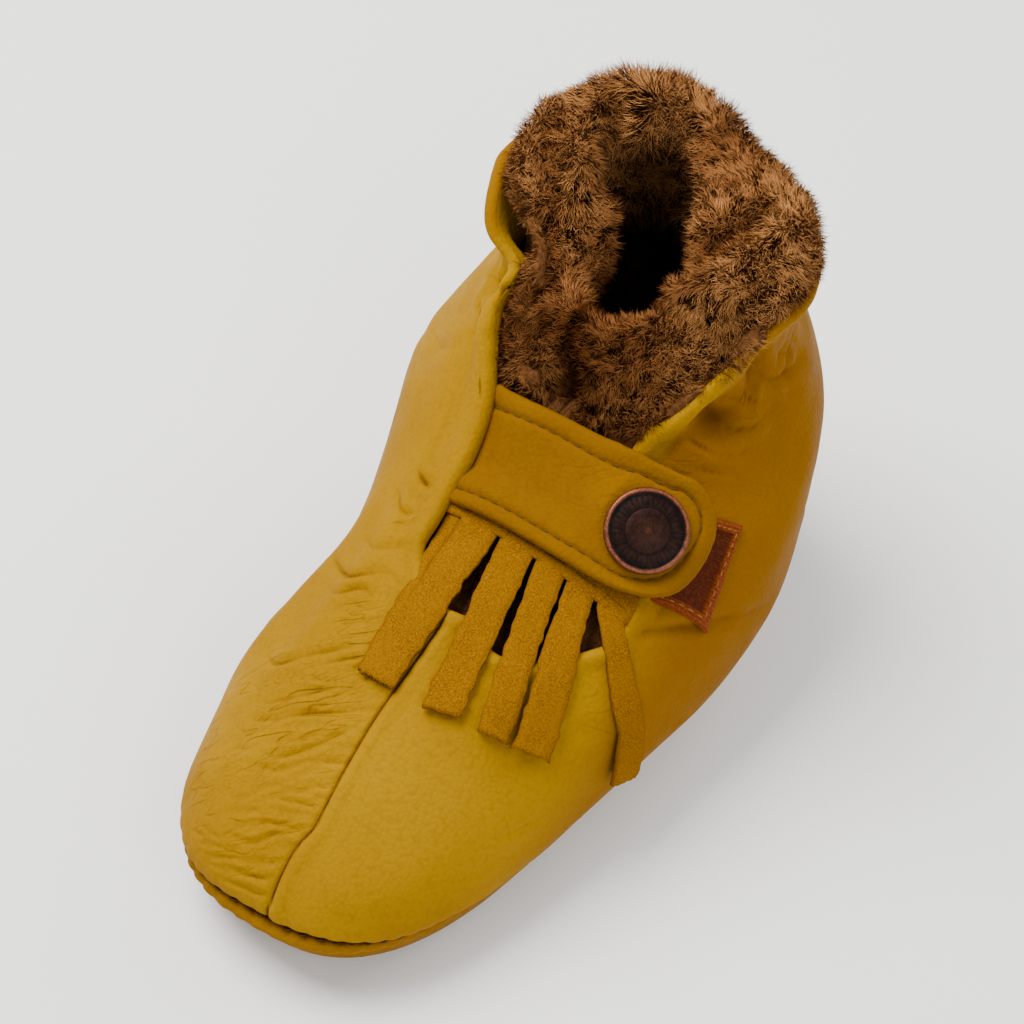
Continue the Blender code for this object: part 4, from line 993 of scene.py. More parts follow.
def build_sole():
    n = 400
    deg = wrap(spread(-180.0, 180.0, n, lambda x: np.where(np.abs(x) < 60, 1.2, 0.9))[:-1])
    outer = []
    vs = table(SEAM, deg)
    # from the seam down the last's own face
    p, nr, up = last_frame(np.radians(deg), np.maximum(vs, 1e-4))
    for f in (1.0, 0.93, 0.82, 0.66, 0.48, 0.30, 0.15, 0.05):
        v = vs * f
        q, nq, _ = last_frame(np.radians(deg), v)
        tall = np.linalg.norm(q - p, axis=1)
        sink = -0.72 * (1 - S(tall, 0.0, 1.1)) * S(vs, 0.02, 0.3) - 0.25 * (1 - S(vs, 0.02, 0.3))
        outer.append(q + nq * (sink + 0.30 * np.exp(-((tall - 1.9) / 0.9) ** 2) * S(vs, 0.1, 0.4))[:, None])
    for inset, share in ((0.25, 0.90), (0.42, 0.78), (0.75, 0.62), (1.25, 0.45), (2.0, 0.29), (3.2, 0.145), (4.8, 0.05),
                         (7.0, 0.0), (10.0, 0.0), (13.0, 0.0), (16.0, 0.0)):
        outer.append(sole_ring(deg, inset, share))
    outer = np.array(outer)
    # little folds where the sole leather is gathered round the toe
    flat = outer.reshape(-1, 3)
    rows, colsn = outer.shape[:2]
    arc = np.interp(deg, np.linspace(-180, 180, 721), arc_toe)
    top = outer[0]
    fall = np.linalg.norm(outer - top[None], axis=2)
    toe = 1 - S(np.abs(deg - 2), 45, 85)
    wave = (0.5 + 0.5 * np.sin(2 * math.pi * arc / 3.4 + 1.8 * noise(last(np.radians(deg), 0.6), 8.0, 11) + 0.6)) ** 2
    amp = (0.12 + 0.36 * toe)[None] * np.exp(-(fall / 3.2) ** 2) * S(fall, 0.2, 1.2)
    out_dir = unit(outer - np.array((0.0, 0.0, 14.0)) * 1.0 - outer * np.array((0.0, 1.0, 0.0)) * 0.85)
    radial = unit(np.stack([np.sin(np.radians(deg)), -np.cos(np.radians(deg)), np.zeros(len(deg))], -1))
    outer = outer - radial[None] * (amp * wave[None])[..., None]
    lump = 0.12 * noise(outer.reshape(-1, 3), 9.0, 21).reshape(rows, colsn)
    keep_flat = S(np.arange(rows), 11, 14)
    outer = outer + radial[None] * (lump * (1 - keep_flat)[:, None])[..., None]
    bulge = table(SOLE_FULL, deg)[None] * S(fall, 0.3, 2.4) * (1 - S(fall, 9.0, 14.0))
    outer = outer + radial[None] * bulge[..., None]
    # inner face
    inner = []
    for inset, share, lean, rise in ((0.25, 0.9, 1.0, 0.0), (0.9, 0.55, 0.95, 0.15), (2.0, 0.30, 0.8, 0.5), (3.2, 0.16, 0.6, 0.75),
                                     (7.0, 0.0, 0.0, 1.0), (16.0, 0.0, 0.0, 1.0)):
        inner.append(sole_ring(deg, inset + SOLE_LEATHER * lean * 0.8, share, SOLE_LEATHER * rise))
    # above the seam line the inner face follows the outer one
    lip, lip_n, _ = last_frame(np.radians(deg), np.maximum(vs * 0.94, 0.0))
    inner = [np.where((vs > 0.05)[:, None], lip - lip_n * 2.0, inner[0])] + inner
    inner = np.array(inner)
    co = np.concatenate([outer.reshape(-1, 3), inner.reshape(-1, 3)])
    base = rows * colsn
    quads = [grid_quads(rows, colsn, True), grid_quads(len(inner), colsn, True, base)[:, ::-1]]
    j = np.arange(colsn)
    k = (j + 1) % colsn
    quads.append(np.stack([k, j, base + j, base + k], -1))
    tris = []

    def rungs(start, flip):
        m = colsn
        for a in range(m // 2):
            ring = [a, a + 1, (m - a - 1) % m, (m - a) % m]
            ids = list(dict.fromkeys(start + r % m for r in ring))
            if len(ids) == 4:
                quads.append(np.array([ids[::-1] if flip else ids]))
            elif len(ids) == 3:
                tris.append(ids[::-1] if flip else ids)

    rungs((rows - 1) * colsn, False)
    rungs(base + (len(inner) - 1) * colsn, True)
    total = len(co)
    z = np.zeros(total)
    # painted shade in the crease at the seam and in the folds of the gathers, and warmer painted shade further down
    # where the sole turns under
    painted_shade = z.copy()
    painted_shade[:base] = np.clip(0.8 * np.exp(-(fall / 0.7) ** 2) + 0.35 * wave[None] * np.exp(-(fall / 2.2) ** 2) * (0.3 + 0.7 * toe)[None], 0, 1).ravel()
    warm_shade = z.copy()
    warm_shade[:base] = (0.15 + 0.35 * S(fall, 2, 8)).ravel()
    wri = z.copy()
    wri[:base] = 0.3
    uv = np.zeros((total, 3))
    uv[:base, 0] = np.tile(arc, rows)
    uv[:base, 1] = -fall.ravel()
    attrs = {"crease": ("FLOAT", painted_shade), "wrinkle": ("FLOAT", wri), "warm": ("FLOAT", warm_shade), "flat": ("FLOAT_VECTOR", uv)}
    return build("sole_hide", co, np.concatenate(quads), tris, deer_sole, "sole_deerskin", attrs=attrs, node="outsole")


def build_footbed():
    inset = 0.9 + SOLE_LEATHER * 0.8 + GAP + 0.4
    n = 240
    deg = wrap(spread(-180.0, 180.0, n, lambda x: np.ones_like(x))[:-1])
    floor = SOLE_LEATHER + GAP
    rows = [(12.0, 0.0), (3.2, 0.0), (0.4, 1.6), (0.0, 3.0), (0.3, INSOLE - 0.9), (2.0, INSOLE), (4.0, INSOLE), (6.5, INSOLE), (9.0, INSOLE), (12.0, INSOLE)]
    out = []
    for extra, h in rows:
        p = sole_ring(deg, inset + extra, 0)
        p[:, 2] = ground(p[:, 0], p[:, 1]) + floor + h
        if h == INSOLE:
            p[:, 2] += 0.5 * noise(p, 3.0, 31) - 0.3
        out.append(p)
    out = np.array(out)
    m = len(deg)
    quads = [grid_quads(len(out), m, True)]
    tris = []
    for start, flip in ((0, True), ((len(out) - 1) * m, False)):
        for a in range(m // 2):
            ids = list(dict.fromkeys(start + r % m for r in (a, a + 1, (m - a - 1) % m, (m - a) % m)))
            if len(ids) == 4:
                quads.append(np.array([ids[::-1] if flip else ids]))
            elif len(ids) == 3:
                tris.append(ids)
    return build("footbed_pile", out.reshape(-1, 3), np.concatenate(quads), tris, bed, "shearling_footbed", node="insole")


# outline of the strap in plan, used for the strap and to keep the fur from under it
# how the strap's two edges are drawn in along it: place, upper edge, lower edge
STRAP_TRIM = [(-16, 0.0, 0.75), (-11, -0.75, 0.9), (-6, -1.0, 0.8), (4, -1.0, 0.8), (6.5, -0.75, 0.9), (9, -0.35, 0.95), (11.5, 0.0, 0.75),
              (14, 0.0, 0.45), (16.5, -0.05, 0.0), (19, -0.4, -0.5), (21.5, -0.4, -0.95), (24, 0.1, -1.1), (31.4, 0.0, -1.1)]


def strap_middle(x):
    return STRAP_Y[0] + (STRAP_Y[1] - STRAP_Y[0]) * S(x, 8.0, STRAP_END) + (table(STRAP_TRIM, x, 1) + table(STRAP_TRIM, x, 2)) / 2


def inner_edge(y):
    v = np.linspace(4.0, RIM, 30)
    p = last(np.radians(table(THROAT, v, 1)), v)
    return np.interp(y, p[:, 1], p[:, 0])


def strap_half(x):
    into = np.clip((x - (STRAP_END - STRAP_CORNER)) / STRAP_CORNER, 0, 1)
    return (STRAP_HALF + (table(STRAP_TRIM, x, 1) - table(STRAP_TRIM, x, 2)) / 2) * (1 - into ** 2.5) ** (1 / 2.3)


def strap_off(x, y):
    base = -1.3 + 3.3 * S(x, 2.0, 14.0) + 0.75 * S(x, 14.0, 22.0)
    fringe = (1 - S(y, 8.0, 11.5)) * (1.6 - 1.3 * S(x, 4.0, 14.0))
    tuck = -1.5 * (1 - S(x - inner_edge(y), 0.0, 6.0))
    return base + fringe + tuck


LIFT_X, LIFT_Y = np.linspace(-22.0, STRAP_END, 90), np.linspace(0.0, 31.0, 32)
STRAP_TIGHT = 0.82


def drawn_tight():
    """How far the strap is lifted off what it lies on by being drawn tight, and how high its underside is."""
    lift = np.zeros((len(LIFT_Y), len(LIFT_X)))
    high = np.zeros_like(lift)
    for r, y in enumerate(LIFT_Y):
        xs = LIFT_X
        off = strap_off(xs, np.full(len(xs), y))
        z = np.zeros(len(xs))
        for k, (x, o) in enumerate(zip(xs, off)):
            on = TREE.ray_cast(Vector((x, y, 300.0)), DOWN)[0] is not None
            z[k] = over(x, y, o)[0][2] if on else z[k - 1]
        reach = [x for x in np.linspace(0, STRAP_END, 120) if abs(y - strap_middle(x)) < strap_half(x)]
        a = np.searchsorted(xs, float(inner_edge(y)) + 0.5)
        b = np.searchsorted(xs, max(reach) if reach else 20.0)
        top = z.copy()
        for i in range(a, b):
            for j in range(i + 1, b):
                between = np.arange(i + 1, j)
                top[between] = np.maximum(top[between], z[i] + (z[j] - z[i]) * (xs[between] - xs[i]) / (xs[j] - xs[i]))
        lift[r] = STRAP_TIGHT * (top - z)
        high[r] = z + lift[r]
    for _ in range(3):
        lift[1:-1] = (lift[:-2] + 2 * lift[1:-1] + lift[2:]) / 4
        lift[:, 1:-1] = (lift[:, :-2] + 2 * lift[:, 1:-1] + lift[:, 2:]) / 4
    return lift, high


LIFT, UNDERSIDE = drawn_tight()
SNAP_POINT, SNAP_AXIS = over(*SNAP_AT)
BASE_OFF = -1.3 + 3.3 + 0.75 * float(S(SNAP_AT[0], 14.0, 22.0)) + float((1 - S(SNAP_AT[1], 8.0, 11.5)) * 0.3)
SNAP_BASE = SNAP_POINT + SNAP_AXIS * BASE_OFF


def grid_value(field, x, y):
    """A value from a field over LIFT_Y and LIFT_X at plan points."""
    fx = np.clip((np.asarray(x) - LIFT_X[0]) / (LIFT_X[1] - LIFT_X[0]), 0, len(LIFT_X) - 1.001)
    fy = np.clip((np.asarray(y) - LIFT_Y[0]) / (LIFT_Y[1] - LIFT_Y[0]), 0, len(LIFT_Y) - 1.001)
    i, j = fx.astype(int), fy.astype(int)
    a, b = fx - i, fy - j
    return (field[j, i] * (1 - a) * (1 - b) + field[j, i + 1] * a * (1 - b) + field[j + 1, i] * (1 - a) * b
            + field[j + 1, i + 1] * a * b)


def strap_surface(xy, drawn=True):
    """Underside points and the way up, for plan points on the strap."""
    off = strap_off(xy[:, 0], xy[:, 1])
    low, up = over_many(xy, off)
    low[:, 2] += grid_value(LIFT, xy[:, 0], xy[:, 1])
    from_snap = np.hypot(xy[:, 0] - SNAP_AT[0], xy[:, 1] - SNAP_AT[1])
    flat = (1 - S(from_snap, 7.5, 11.0))[:, None]
    rise = ((SNAP_BASE - low) @ SNAP_AXIS)[:, None]
    low = low + SNAP_AXIS * rise * flat
    if drawn:
        low[:, 2] += grid_value(TAUT, xy[:, 0], xy[:, 1]) * S(from_snap, 7.0, 10.0)
    return low, unit(up * (1 - flat) + SNAP_AXIS * flat)


def drawn_taut():
    """What is still missing to a straight run between the throat's roll and the snap."""
    taut = np.zeros_like(LIFT)
    for r, y in enumerate(LIFT_Y):
        a = np.searchsorted(LIFT_X, float(inner_edge(y)) + 1.0)
        b = np.searchsorted(LIFT_X, SNAP_AT[0] + 3.0)
        b = a + next((k for k, x in enumerate(LIFT_X[a:b]) if TREE.ray_cast(Vector((x, y, 300.0)), DOWN)[0] is None), b - a)
        if b - a < 4:
            continue
        xs = LIFT_X[a:b]
        z = strap_surface(np.stack([xs, np.full(len(xs), y)], -1), False)[0][:, 2]
        top = z.copy()
        for i in range(len(xs)):
            for j in range(i + 2, len(xs)):
                between = np.arange(i + 1, j)
                top[between] = np.maximum(top[between], z[i] + (z[j] - z[i]) * (xs[between] - xs[i]) / (xs[j] - xs[i]))
        taut[r, a:b] = top - z
    for _ in range(4):
        taut[1:-1] = (taut[:-2] + 2 * taut[1:-1] + taut[2:]) / 4
    return taut


TAUT = drawn_taut()
UNDERSIDE = UNDERSIDE + 0.6 * TAUT


def under_strap(p, margin=0.4):
    """Which points lie under the strap."""
    x, y = p[:, 0], p[:, 1]
    plan = (x > inner_edge(y) - 3) & (x < STRAP_END + margin) & (np.abs(y - strap_middle(x)) < strap_half(np.clip(x, -20, STRAP_END)) + margin)
    return plan & (p[:, 2] < grid_value(UNDERSIDE, x, y) + 3.4)


# ---- the fleece -------------------------------------------------------------------------------------------------------
ROLL = [(0.0, 1.2), (-0.14, 2.0), (-0.18, 3.6), (-0.03, 6.0), (0.29, 7.2), (0.64, 6.2), (0.90, 3.0)]
# the slot that the fur leaves open at the top: distance from the collar's middle by direction (0 the toe, 90 outward)
SLOT_AT = (0.0, 50.0)
SLOT = [(-180, 13.0), (-171, 18.4), (-165, 18.8), (-147, 19.4), (-135, 20.0), (-122, 20.4), (-114, 19.2), (-107, 15.8), (-99, 13.2),
        (-91, 10.8), (-84, 9.4), (-69, 8.6), (-61, 9.0), (-53, 10.2), (-38, 11.1), (-22, 12.8), (-14, 14.2), (-6, 14.0), (2, 12.4),
        (9, 11.2), (20, 10.0), (38, 8.2), (54, 8.8), (66, 10.0), (76, 9.0), (87, 7.8), (110, 6.8), (135, 6.9), (153, 7.6), (170, 9.6),
        (180, 13.0)]
# how far the fur hangs over the leather's edge, mm: set in on the inner side, out over the edge on the outer
FUR_OVER = [(-180, -0.3), (-165, 0.3), (-148, 0.6), (-134, -1.4), (-118, -3.4), (-92, -4.4), (-82, -6.0), (-73, -8.2), (-64, -9.2), (-56, -8.6), (-46, -4.8), (-32, 0.0), (0, 1.6),
            (30, 2.6), (60, 2.8), (100, 1.4), (125, 0.0), (150, -0.8), (180, -0.3)]
# how high it stands over the rim, mm
FUR_HIGH = [(-180, 7.2), (-165, 9.4), (-145, 9.6), (-128, 8.0), (-105, 7.0), (-70, 6.4), (-30, 6.2), (-8, 6.8), (14, 9.5), (34, 11.0), (56, 9.6), (80, 7.6), (110, 6.6),
            (145, 4.2), (165, 4.4), (180, 6.6)]


def pile_depth(t, v):
    collar = PILE_COLLAR + (PILE_FRONT - PILE_COLLAR) * S(np.cos(t), 0.3, 1.0)
    return PILE + (collar - PILE) * S(v, 4.0, 5.7)


def pile_frame(t, v):
    p, n, up = last_frame(t, v)
    middle = np.stack([np.zeros_like(p[..., 0]), np.full_like(p[..., 0], 50.0), p[..., 2]], -1)
    radial = unit(p - middle)
    turn = S(v, 3.6, 5.2)[..., None]
    return p, n, unit(n * (1 - turn) + unit(radial + 0.35 * n) * turn), up


FUR_COLS = 180
FT = 2 * math.pi * np.arange(FUR_COLS) / FUR_COLS
FD = wrap(np.degrees(FT))


def fleece_envelope():
    """The outside of the fur as closed sections round the shoe: outer face, roll, inner face.  [row][column]."""
    foot = ring0(FT)
    start = SOLE_LEATHER + GAP + INSOLE + GAP + 0.1 + np.maximum(ground(foot[:, 0], foot[:, 1]), ground(foot[:, 0] * 0.75, foot[:, 1] * 0.9))
    lo, hi = np.zeros(FUR_COLS), np.full(FUR_COLS, 3.0)
    for _ in range(30):
        mid = (lo + hi) / 2
        below = last(FT, mid)[:, 2] < start
        lo, hi = np.where(below, mid, lo), np.where(below, hi, mid)
    v0 = (lo + hi) / 2
    rim, n, stand, up = pile_frame(FT, np.full(FUR_COLS, RIM))
    # where the slot's edge is for each column, and how high the fur stands there
    way = rim[:, :2] - np.array(SLOT_AT)
    heading = np.degrees(np.arctan2(way[:, 0], -way[:, 1]))
    slot_r = table(SLOT, heading)
    slot = np.array(SLOT_AT) + unit(way) * slot_r[:, None]
    front = 1 - S(np.abs(FD - 2), 40, 88)
    high = table(FUR_HIGH, FD)
    slot_z = rim[:, 2] + high * 0.55 + front * 8.5
    outer, inner = [], []
    count = 18
    swell = 3.2 * np.exp(-((FD - 24) / 17.0) ** 2) + 2.2 * np.exp(-((FD + 27) / 11.0) ** 2)
    for i in range(count + 1):
        v = v0 + (RIM - 0.08 - v0) * i / count
        p, nn, st, _ = pile_frame(FT, v)
        a = p - nn * (LEATHER + GAP)
        b = a - st * pile_depth(FT, np.minimum(v, 5.0))[:, None]
        b[:, 2] = np.maximum(b[:, 2], start + 0.2 * i)
        pocket = (2.9 * np.exp(-((FD - 76) / 15.0) ** 2) * np.exp(-((v - 5.2) / 0.55) ** 2) + 6.0 * np.exp(-((FD + 86) / 11.0) ** 2) * np.exp(-((v - 5.1) / 0.6) ** 2)
                  + 12.0 * np.exp(-((FD + 68) / 14.0) ** 2) * S(v, 4.4, 5.25))
        a = a - nn * pocket[:, None]
        # towards the top the inner face comes out to the slot's edge
        w = S(v, 4.3, 5.85)[:, None]
        e = np.concatenate([slot, (slot_z - (RIM - v) * 9.0 - 2.0)[:, None]], 1)
        b = b * (1 - w) + e * w
        # the fur swells out of the throat on each side of the middle
        a = a + nn * (swell * S(v, 4.6, 5.5))[:, None]
        outer.append(a)
        inner.append(b)
    roll = []
    over_edge = table(FUR_OVER, FD)
    for inward, upward in ROLL:
        drawn = np.exp(-((FD + 61) / 12.5) ** 2)
        outward = np.where(inward < 0, over_edge * inward / -0.18, 0.0) * (1 - drawn) - 10.2 * drawn * (1 - S(inward, 0.0, 0.6))
        outward = outward + np.where(inward <= 0, swell * (1 + 5 * inward), 0.0)
        f = max(inward, 0.0)
        edge = rim - stand * (LEATHER + GAP - outward)[:, None] + up * (upward * high / 7.2)[:, None]
        far = np.concatenate([slot, (rim[:, 2] + upward * high / 7.2 + front * 8.5)[:, None]], 1)
        q = edge * (1 - f) + far * f
        q[:, 2] += front * 8.5 * (float(S(inward, -0.16, 0.45)) - f)
        roll.append(q)
    ctrl = np.array(outer + roll + inner[::-1])
    fine = catmull(ctrl, 4)
    return fine, len(outer) * 4, (len(outer) + len(roll)) * 4


ENV, ROW_ROLL, ROW_INNER = fleece_envelope()
for _ in range(3):  # soften
    ENV[1:-1] = (ENV[:-2] + 2 * ENV[1:-1] + ENV[2:]) / 4
    ENV = (np.roll(ENV, 1, 1) + 2 * ENV + np.roll(ENV, -1, 1)) / 4


def env_normals(E):
    dr = np.gradient(E, axis=0)
    dc = (np.roll(E, -1, 1) - np.roll(E, 1, 1)) / 2
    return unit(np.cross(dc, dr))


EN = env_normals(ENV)
# on the outer face the normal points away from the shoe's middle
if (EN[10] * (ENV[10] - ENV[10].mean(0))).sum() < 0:
    EN = -EN
# the valley between the two lapels, from the opening down to the strap, and the fold that runs up the outer lapel
VALLEY = np.array([(-4.5, 42, 69), (-4, 38, 66.5), (-3, 33, 64), (-2.2, 28, 61), (-1, 22, 57)], float)
OUTER_FOLD = np.array([(8, 47, 81), (10, 50, 84), (12.5, 53, 86), (14, 57, 87), (15, 61, 87)], float)
INNER_FOLD = np.array([(-26, 55, 85), (-20, 48, 83), (-14, 41, 80), (-10.5, 36, 77), (-7, 32, 72)], float)
BACK_FOLD = np.array([(-17.5, 65, 91), (-15.5, 61, 88), (-14, 57, 82), (-13, 55, 74)], float)


def fleece_shape():
    E = ENV.copy()
    flat = E.reshape(-1, 3)
    nf = EN.reshape(-1, 3)
    global PARTED_SHADE
    PARTED_SHADE = np.zeros(len(flat))
    push = 1.2 * noise(flat, 14.0, 41) + 0.9 * noise(flat, 6.0, 42) + 0.35 * noise(flat, 3.0, 43)
    # the last number of each line is how dark the painted shade along the parting is
    for line, deep, wide, lip, dark in ((VALLEY, 5.4, 2.3, 1.4, 0.85), (OUTER_FOLD, 2.8, 1.9, 1.0, 0.60), (INNER_FOLD, 2.0, 1.5, 0.6, 0.45),
                                        (BACK_FOLD, 2.2, 2.0, 0.9, 0.5)):
        m, d, _ = near_line(flat, catmull(line, 20), 5.0 * wide)
        PARTED_SHADE[m] = np.maximum(PARTED_SHADE[m], dark * np.exp(-(d / (0.95 * wide)) ** 2))
        if line is VALLEY or line is INNER_FOLD:
            level = np.array((1.0, 1.0, 0.0))
            upper = np.repeat((np.arange(len(E)) > ROW_ROLL - 24) & (np.arange(len(E)) < ROW_INNER + 3), FUR_COLS)
            g, e, _ = near_line(flat * level, catmull(line, 20) * level, 3.0 * wide)
            PARTED_SHADE[g] = np.maximum(PARTED_SHADE[g], upper[g] * dark * np.exp(-(e / (0.75 * wide)) ** 2))
        push[m] += -deep * np.exp(-(d / wide) ** 2) + lip * np.exp(-((d - 2.7 * wide) / (1.2 * wide)) ** 2)
    visible = np.repeat(S(np.arange(len(E)), ROW_ROLL - 22, ROW_ROLL - 6), FUR_COLS)
    flat = flat + nf * (push * visible)[:, None]
    # pressed down under the strap, and rising again behind it
    x, y = flat[:, 0], flat[:, 1]
    past = y - (strap_middle(x) + strap_half(np.clip(x, -20, STRAP_END)))
    ahead = strap_middle(x) - strap_half(np.clip(x, -20, STRAP_END)) - y
    edge_y = np.clip(y, None, strap_middle(x) + strap_half(np.clip(x, -20, STRAP_END)))
    top = grid_value(UNDERSIDE, x, edge_y) - 0.5 + 1.25 * np.clip(past, 0, None) + 4.0 * np.clip(ahead, 0, None)
    front = (x > inner_edge(y) - 6) & (x < STRAP_END + 1) & (past < 8) & (ahead < 4)
    outer = np.repeat(np.arange(len(E)) < ROW_INNER - 8, FUR_COLS)
    flat[:, 2] = np.where(front & outer, np.minimum(flat[:, 2], top), flat[:, 2])
    return flat.reshape(E.shape)


ENV = fleece_shape()
PARTED_SHADE = PARTED_SHADE.reshape(ENV.shape[:2])
EN2 = env_normals(ENV)
if (EN2[10] * (ENV[10] - ENV[10].mean(0))).sum() < 0:
    EN2 = -EN2
SINK = 1.15


def build_fur_body():
    rows = np.arange(0, len(ENV), 2)
    sink = np.where(rows[:, None] < ROW_ROLL - 8, 0.25, SINK)
    # the outer face is bare hide under the leather, and pile in the throat
    throat = (S(FD, -46, -38) * (1 - S(FD, 70, 78)))[None, :]
    sink = np.where(rows[:, None] < ROW_ROLL - 4, 0.25 + (SINK - 0.25) * throat * S(rows, 30, 40)[:, None], SINK)
    ramp = S(rows, ROW_ROLL - 8, ROW_ROLL - 1)[:, None]
    sink = sink * (1 - ramp) + SINK * ramp
    body = ENV[rows] - EN2[rows] * sink[..., None]
    body[-8:, :, 2] = np.maximum(body[-8:, :, 2], 8.7)
    co = body.reshape(-1, 3)
    quads = [grid_quads(len(rows), FUR_COLS, True)]
    j = np.arange(FUR_COLS)
    k = (j + 1) % FUR_COLS
    b = (len(rows) - 1) * FUR_COLS
    quads.append(np.stack([b + j, b + k, k, j], -1))
    return build("fleece_hide", co, np.concatenate(quads), (), pile, "shearling", node="shearling_lining")


def fleece_strands():
    rows, ncol = ENV.shape[:2]
    a, b = ENV[:-1], ENV[1:]
    c = np.roll(ENV, -1, 1)
    area = 0.5 * (np.linalg.norm(np.cross(b - a, c[:-1] - a), axis=2) + np.linalg.norm(np.cross(b - c[1:], c[:-1] - c[1:]), axis=2))
    i = np.arange(rows - 1)[:, None]
    deg = FD[None, :]
    weight = np.zeros_like(area)
    on_roll = (i >= ROW_ROLL - 6) & (i < ROW_INNER + 4)
    weight = np.where(on_roll, 1.0, weight)
    weight = np.where((i >= ROW_ROLL - 6) & (i < ROW_ROLL + 6), 1.5, weight)
    weight = np.where((i >= ROW_INNER + 4), np.clip(1.0 - (i - ROW_INNER - 4) / 44.0, 0.10, 1) * 0.8, weight)
    throat = (deg > -74) & (deg < 84)
    weight = np.where((i < ROW_ROLL - 6) & (i > ROW_ROLL - 34) & throat, 0.9, weight)
    prob = (area * weight).ravel()
    rng = np.random.default_rng(5)
    count = 345000
    pick = rng.choice(len(prob), count, p=prob / prob.sum())
    pi, pj = np.divmod(pick, ncol)
    f, g = rng.random(count), rng.random(count)
    pk = (pj + 1) % ncol

    def blend(A):
        return (A[pi, pj] * ((1 - f) * (1 - g))[:, None] + A[pi + 1, pj] * (f * (1 - g))[:, None]
                + A[pi, pk] * ((1 - f) * g)[:, None] + A[pi + 1, pk] * (f * g)[:, None])

    p, n = blend(ENV), unit(blend(EN2))
    parted_shade = blend(PARTED_SHADE[..., None])[:, 0]
    row = pi + f
    v_row = np.clip(row / 4.0, 0, 18) / 18.0 * (RIM - 0.1)
    at = FD[pj]
    # none under the strap, and on the fur's outer face only inside the throat
    under_leather = (row < ROW_ROLL - 4.5) & ((at < table(THROAT, v_row, 1) + 1.5) | (at > table(THROAT, v_row, 2) - 1.0)
                                            | (v_row < table(VAMP_EDGE, at) + 0.02))
    # where the fur swells out past the hide's edge it shows
    for k in np.where(under_leather & (row > ROW_ROLL - 24) & (at > 15) & (at < 130))[0]:
        face, out = beside(p[k])
        if (p[k] - face) @ out > -0.1:
            under_leather[k] = False
    # and where it stands back behind the gathers
    under_leather &= ~((row > ROW_ROLL - 15) & (at > -70) & (at < -40))
    keep = ~under_strap(p, 0.9) & ~under_leather
    length = 2.1 + 1.2 * rng.random(count)
    in_front = (p[:, 1] < strap_middle(p[:, 0]) - 6) & (row < ROW_ROLL)
    length[in_front] = 1.9
    crest = np.exp(-((np.abs(wrap(at + 155))) / 26.0) ** 2) * ((row > ROW_ROLL - 1) & (row < ROW_INNER + 4))
    length += 1.2 * crest
    p, n, length, row, in_front, parted_shade, crest = p[keep], n[keep], length[keep], row[keep], in_front[keep], parted_shade[keep], crest[keep]
    count = len(p)
    # small loose tufts
    centres = rng.choice(count, count // 15, replace=False)
    tree = KDTree(len(centres))
    for k, q in enumerate(p[centres]):
        tree.insert(Vector(q), k)
    tree.balance()
    mine = np.array([tree.find(Vector(q))[1] for q in p])
    tuft_dir = rng.normal(size=(len(centres), 3))
    tuft_len = 1 + 0.16 * rng.normal(size=len(centres))
    tuft_tone = rng.random(len(centres))
    # the nap lies in slow swirls, and every hair its own way
    swirl = noise3(p, 8.0, 51) * 1.25 + noise3(p, 3.2, 55) * 0.75
    lean = swirl * 0.75 + np.array((0.0, 0.0, -0.12)) + tuft_dir[mine] * 0.14 + rng.normal(size=(count, 3)) * 0.32
    lean = lean - n * np.einsum("ij,ij->i", lean, n)[:, None]
    way = unit(n * 0.70 + lean)
    length = length * np.clip(tuft_len[mine], 0.6, 1.4)
    root = p - n * (SINK + 0.35)
    tip = root + way * length[:, None] + n * 0.15
    tuft_tip = tip[centres][mine]
    pull = (0.03 + 0.14 * rng.random(count))[:, None]
    near = np.linalg.norm(tuft_tip - tip, axis=1)[:, None] < 3.0
    tip = np.where(near, tip * (1 - pull) + tuft_tip * pull, tip)
    curl = noise3(p, 1.3, 61) * 0.45 + rng.normal(size=(count, 3)) * 0.16
    mid = (root + tip) / 2 + n * 0.34 + curl
    # each hair lies broad side out
    side = unit(np.cross(way, n) + 0.35 * rng.normal(size=(count, 3)))
    width = (0.044 + 0.032 * rng.random(count)) * 1
    w = side * width[:, None]
    co = np.stack([root, mid - w, tip, mid + w], 1)
    turned = np.einsum("ij,ij->i", np.cross(co[:, 1] - co[:, 0], co[:, 2] - co[:, 0]), n) < 0
    co[turned] = co[turned][:, [0, 3, 2, 1]]
    # colour: tan tips, dark roots, red-brown painted shade where the pile parts, and painted shade down inside
    tone = 0.56 + 0.42 * noise(p, 9.0, 71) + 0.26 * noise(p, 3.4, 73) + 0.12 * (tuft_tone[mine] - 0.5) + 0.06 * rng.normal(size=count)
    # painted highlight on the back crest and the outer lapel, painted shade along the partings
    tone += 0.18 * crest - 0.45 * parted_shade + 0.20 * S(p[:, 0], 7.0, 18.0)
    tone = np.clip(tone, 0, 1)[:, None]
    tip_dark, tip_tan = np.array((0.200, 0.066, 0.018)), np.array((0.45, 0.203, 0.066))
    tips = tip_dark + (tip_tan - tip_dark) * tone
    roots = np.array((0.190, 0.075, 0.0225)) * (0.7 + 0.6 * tone)
    # painted shade: the pile gets darker down the slot, soonest at the back where the wall is steep
    heading = np.degrees(np.arctan2(p[:, 0] - SLOT_AT[0], SLOT_AT[1] - p[:, 1]))
    back = S(-heading, 118, 135) + S(heading, 172, 180)
    deep = S(row, ROW_INNER + 1 - 9 * back, ROW_INNER + 20 - 10 * back)[:, None]
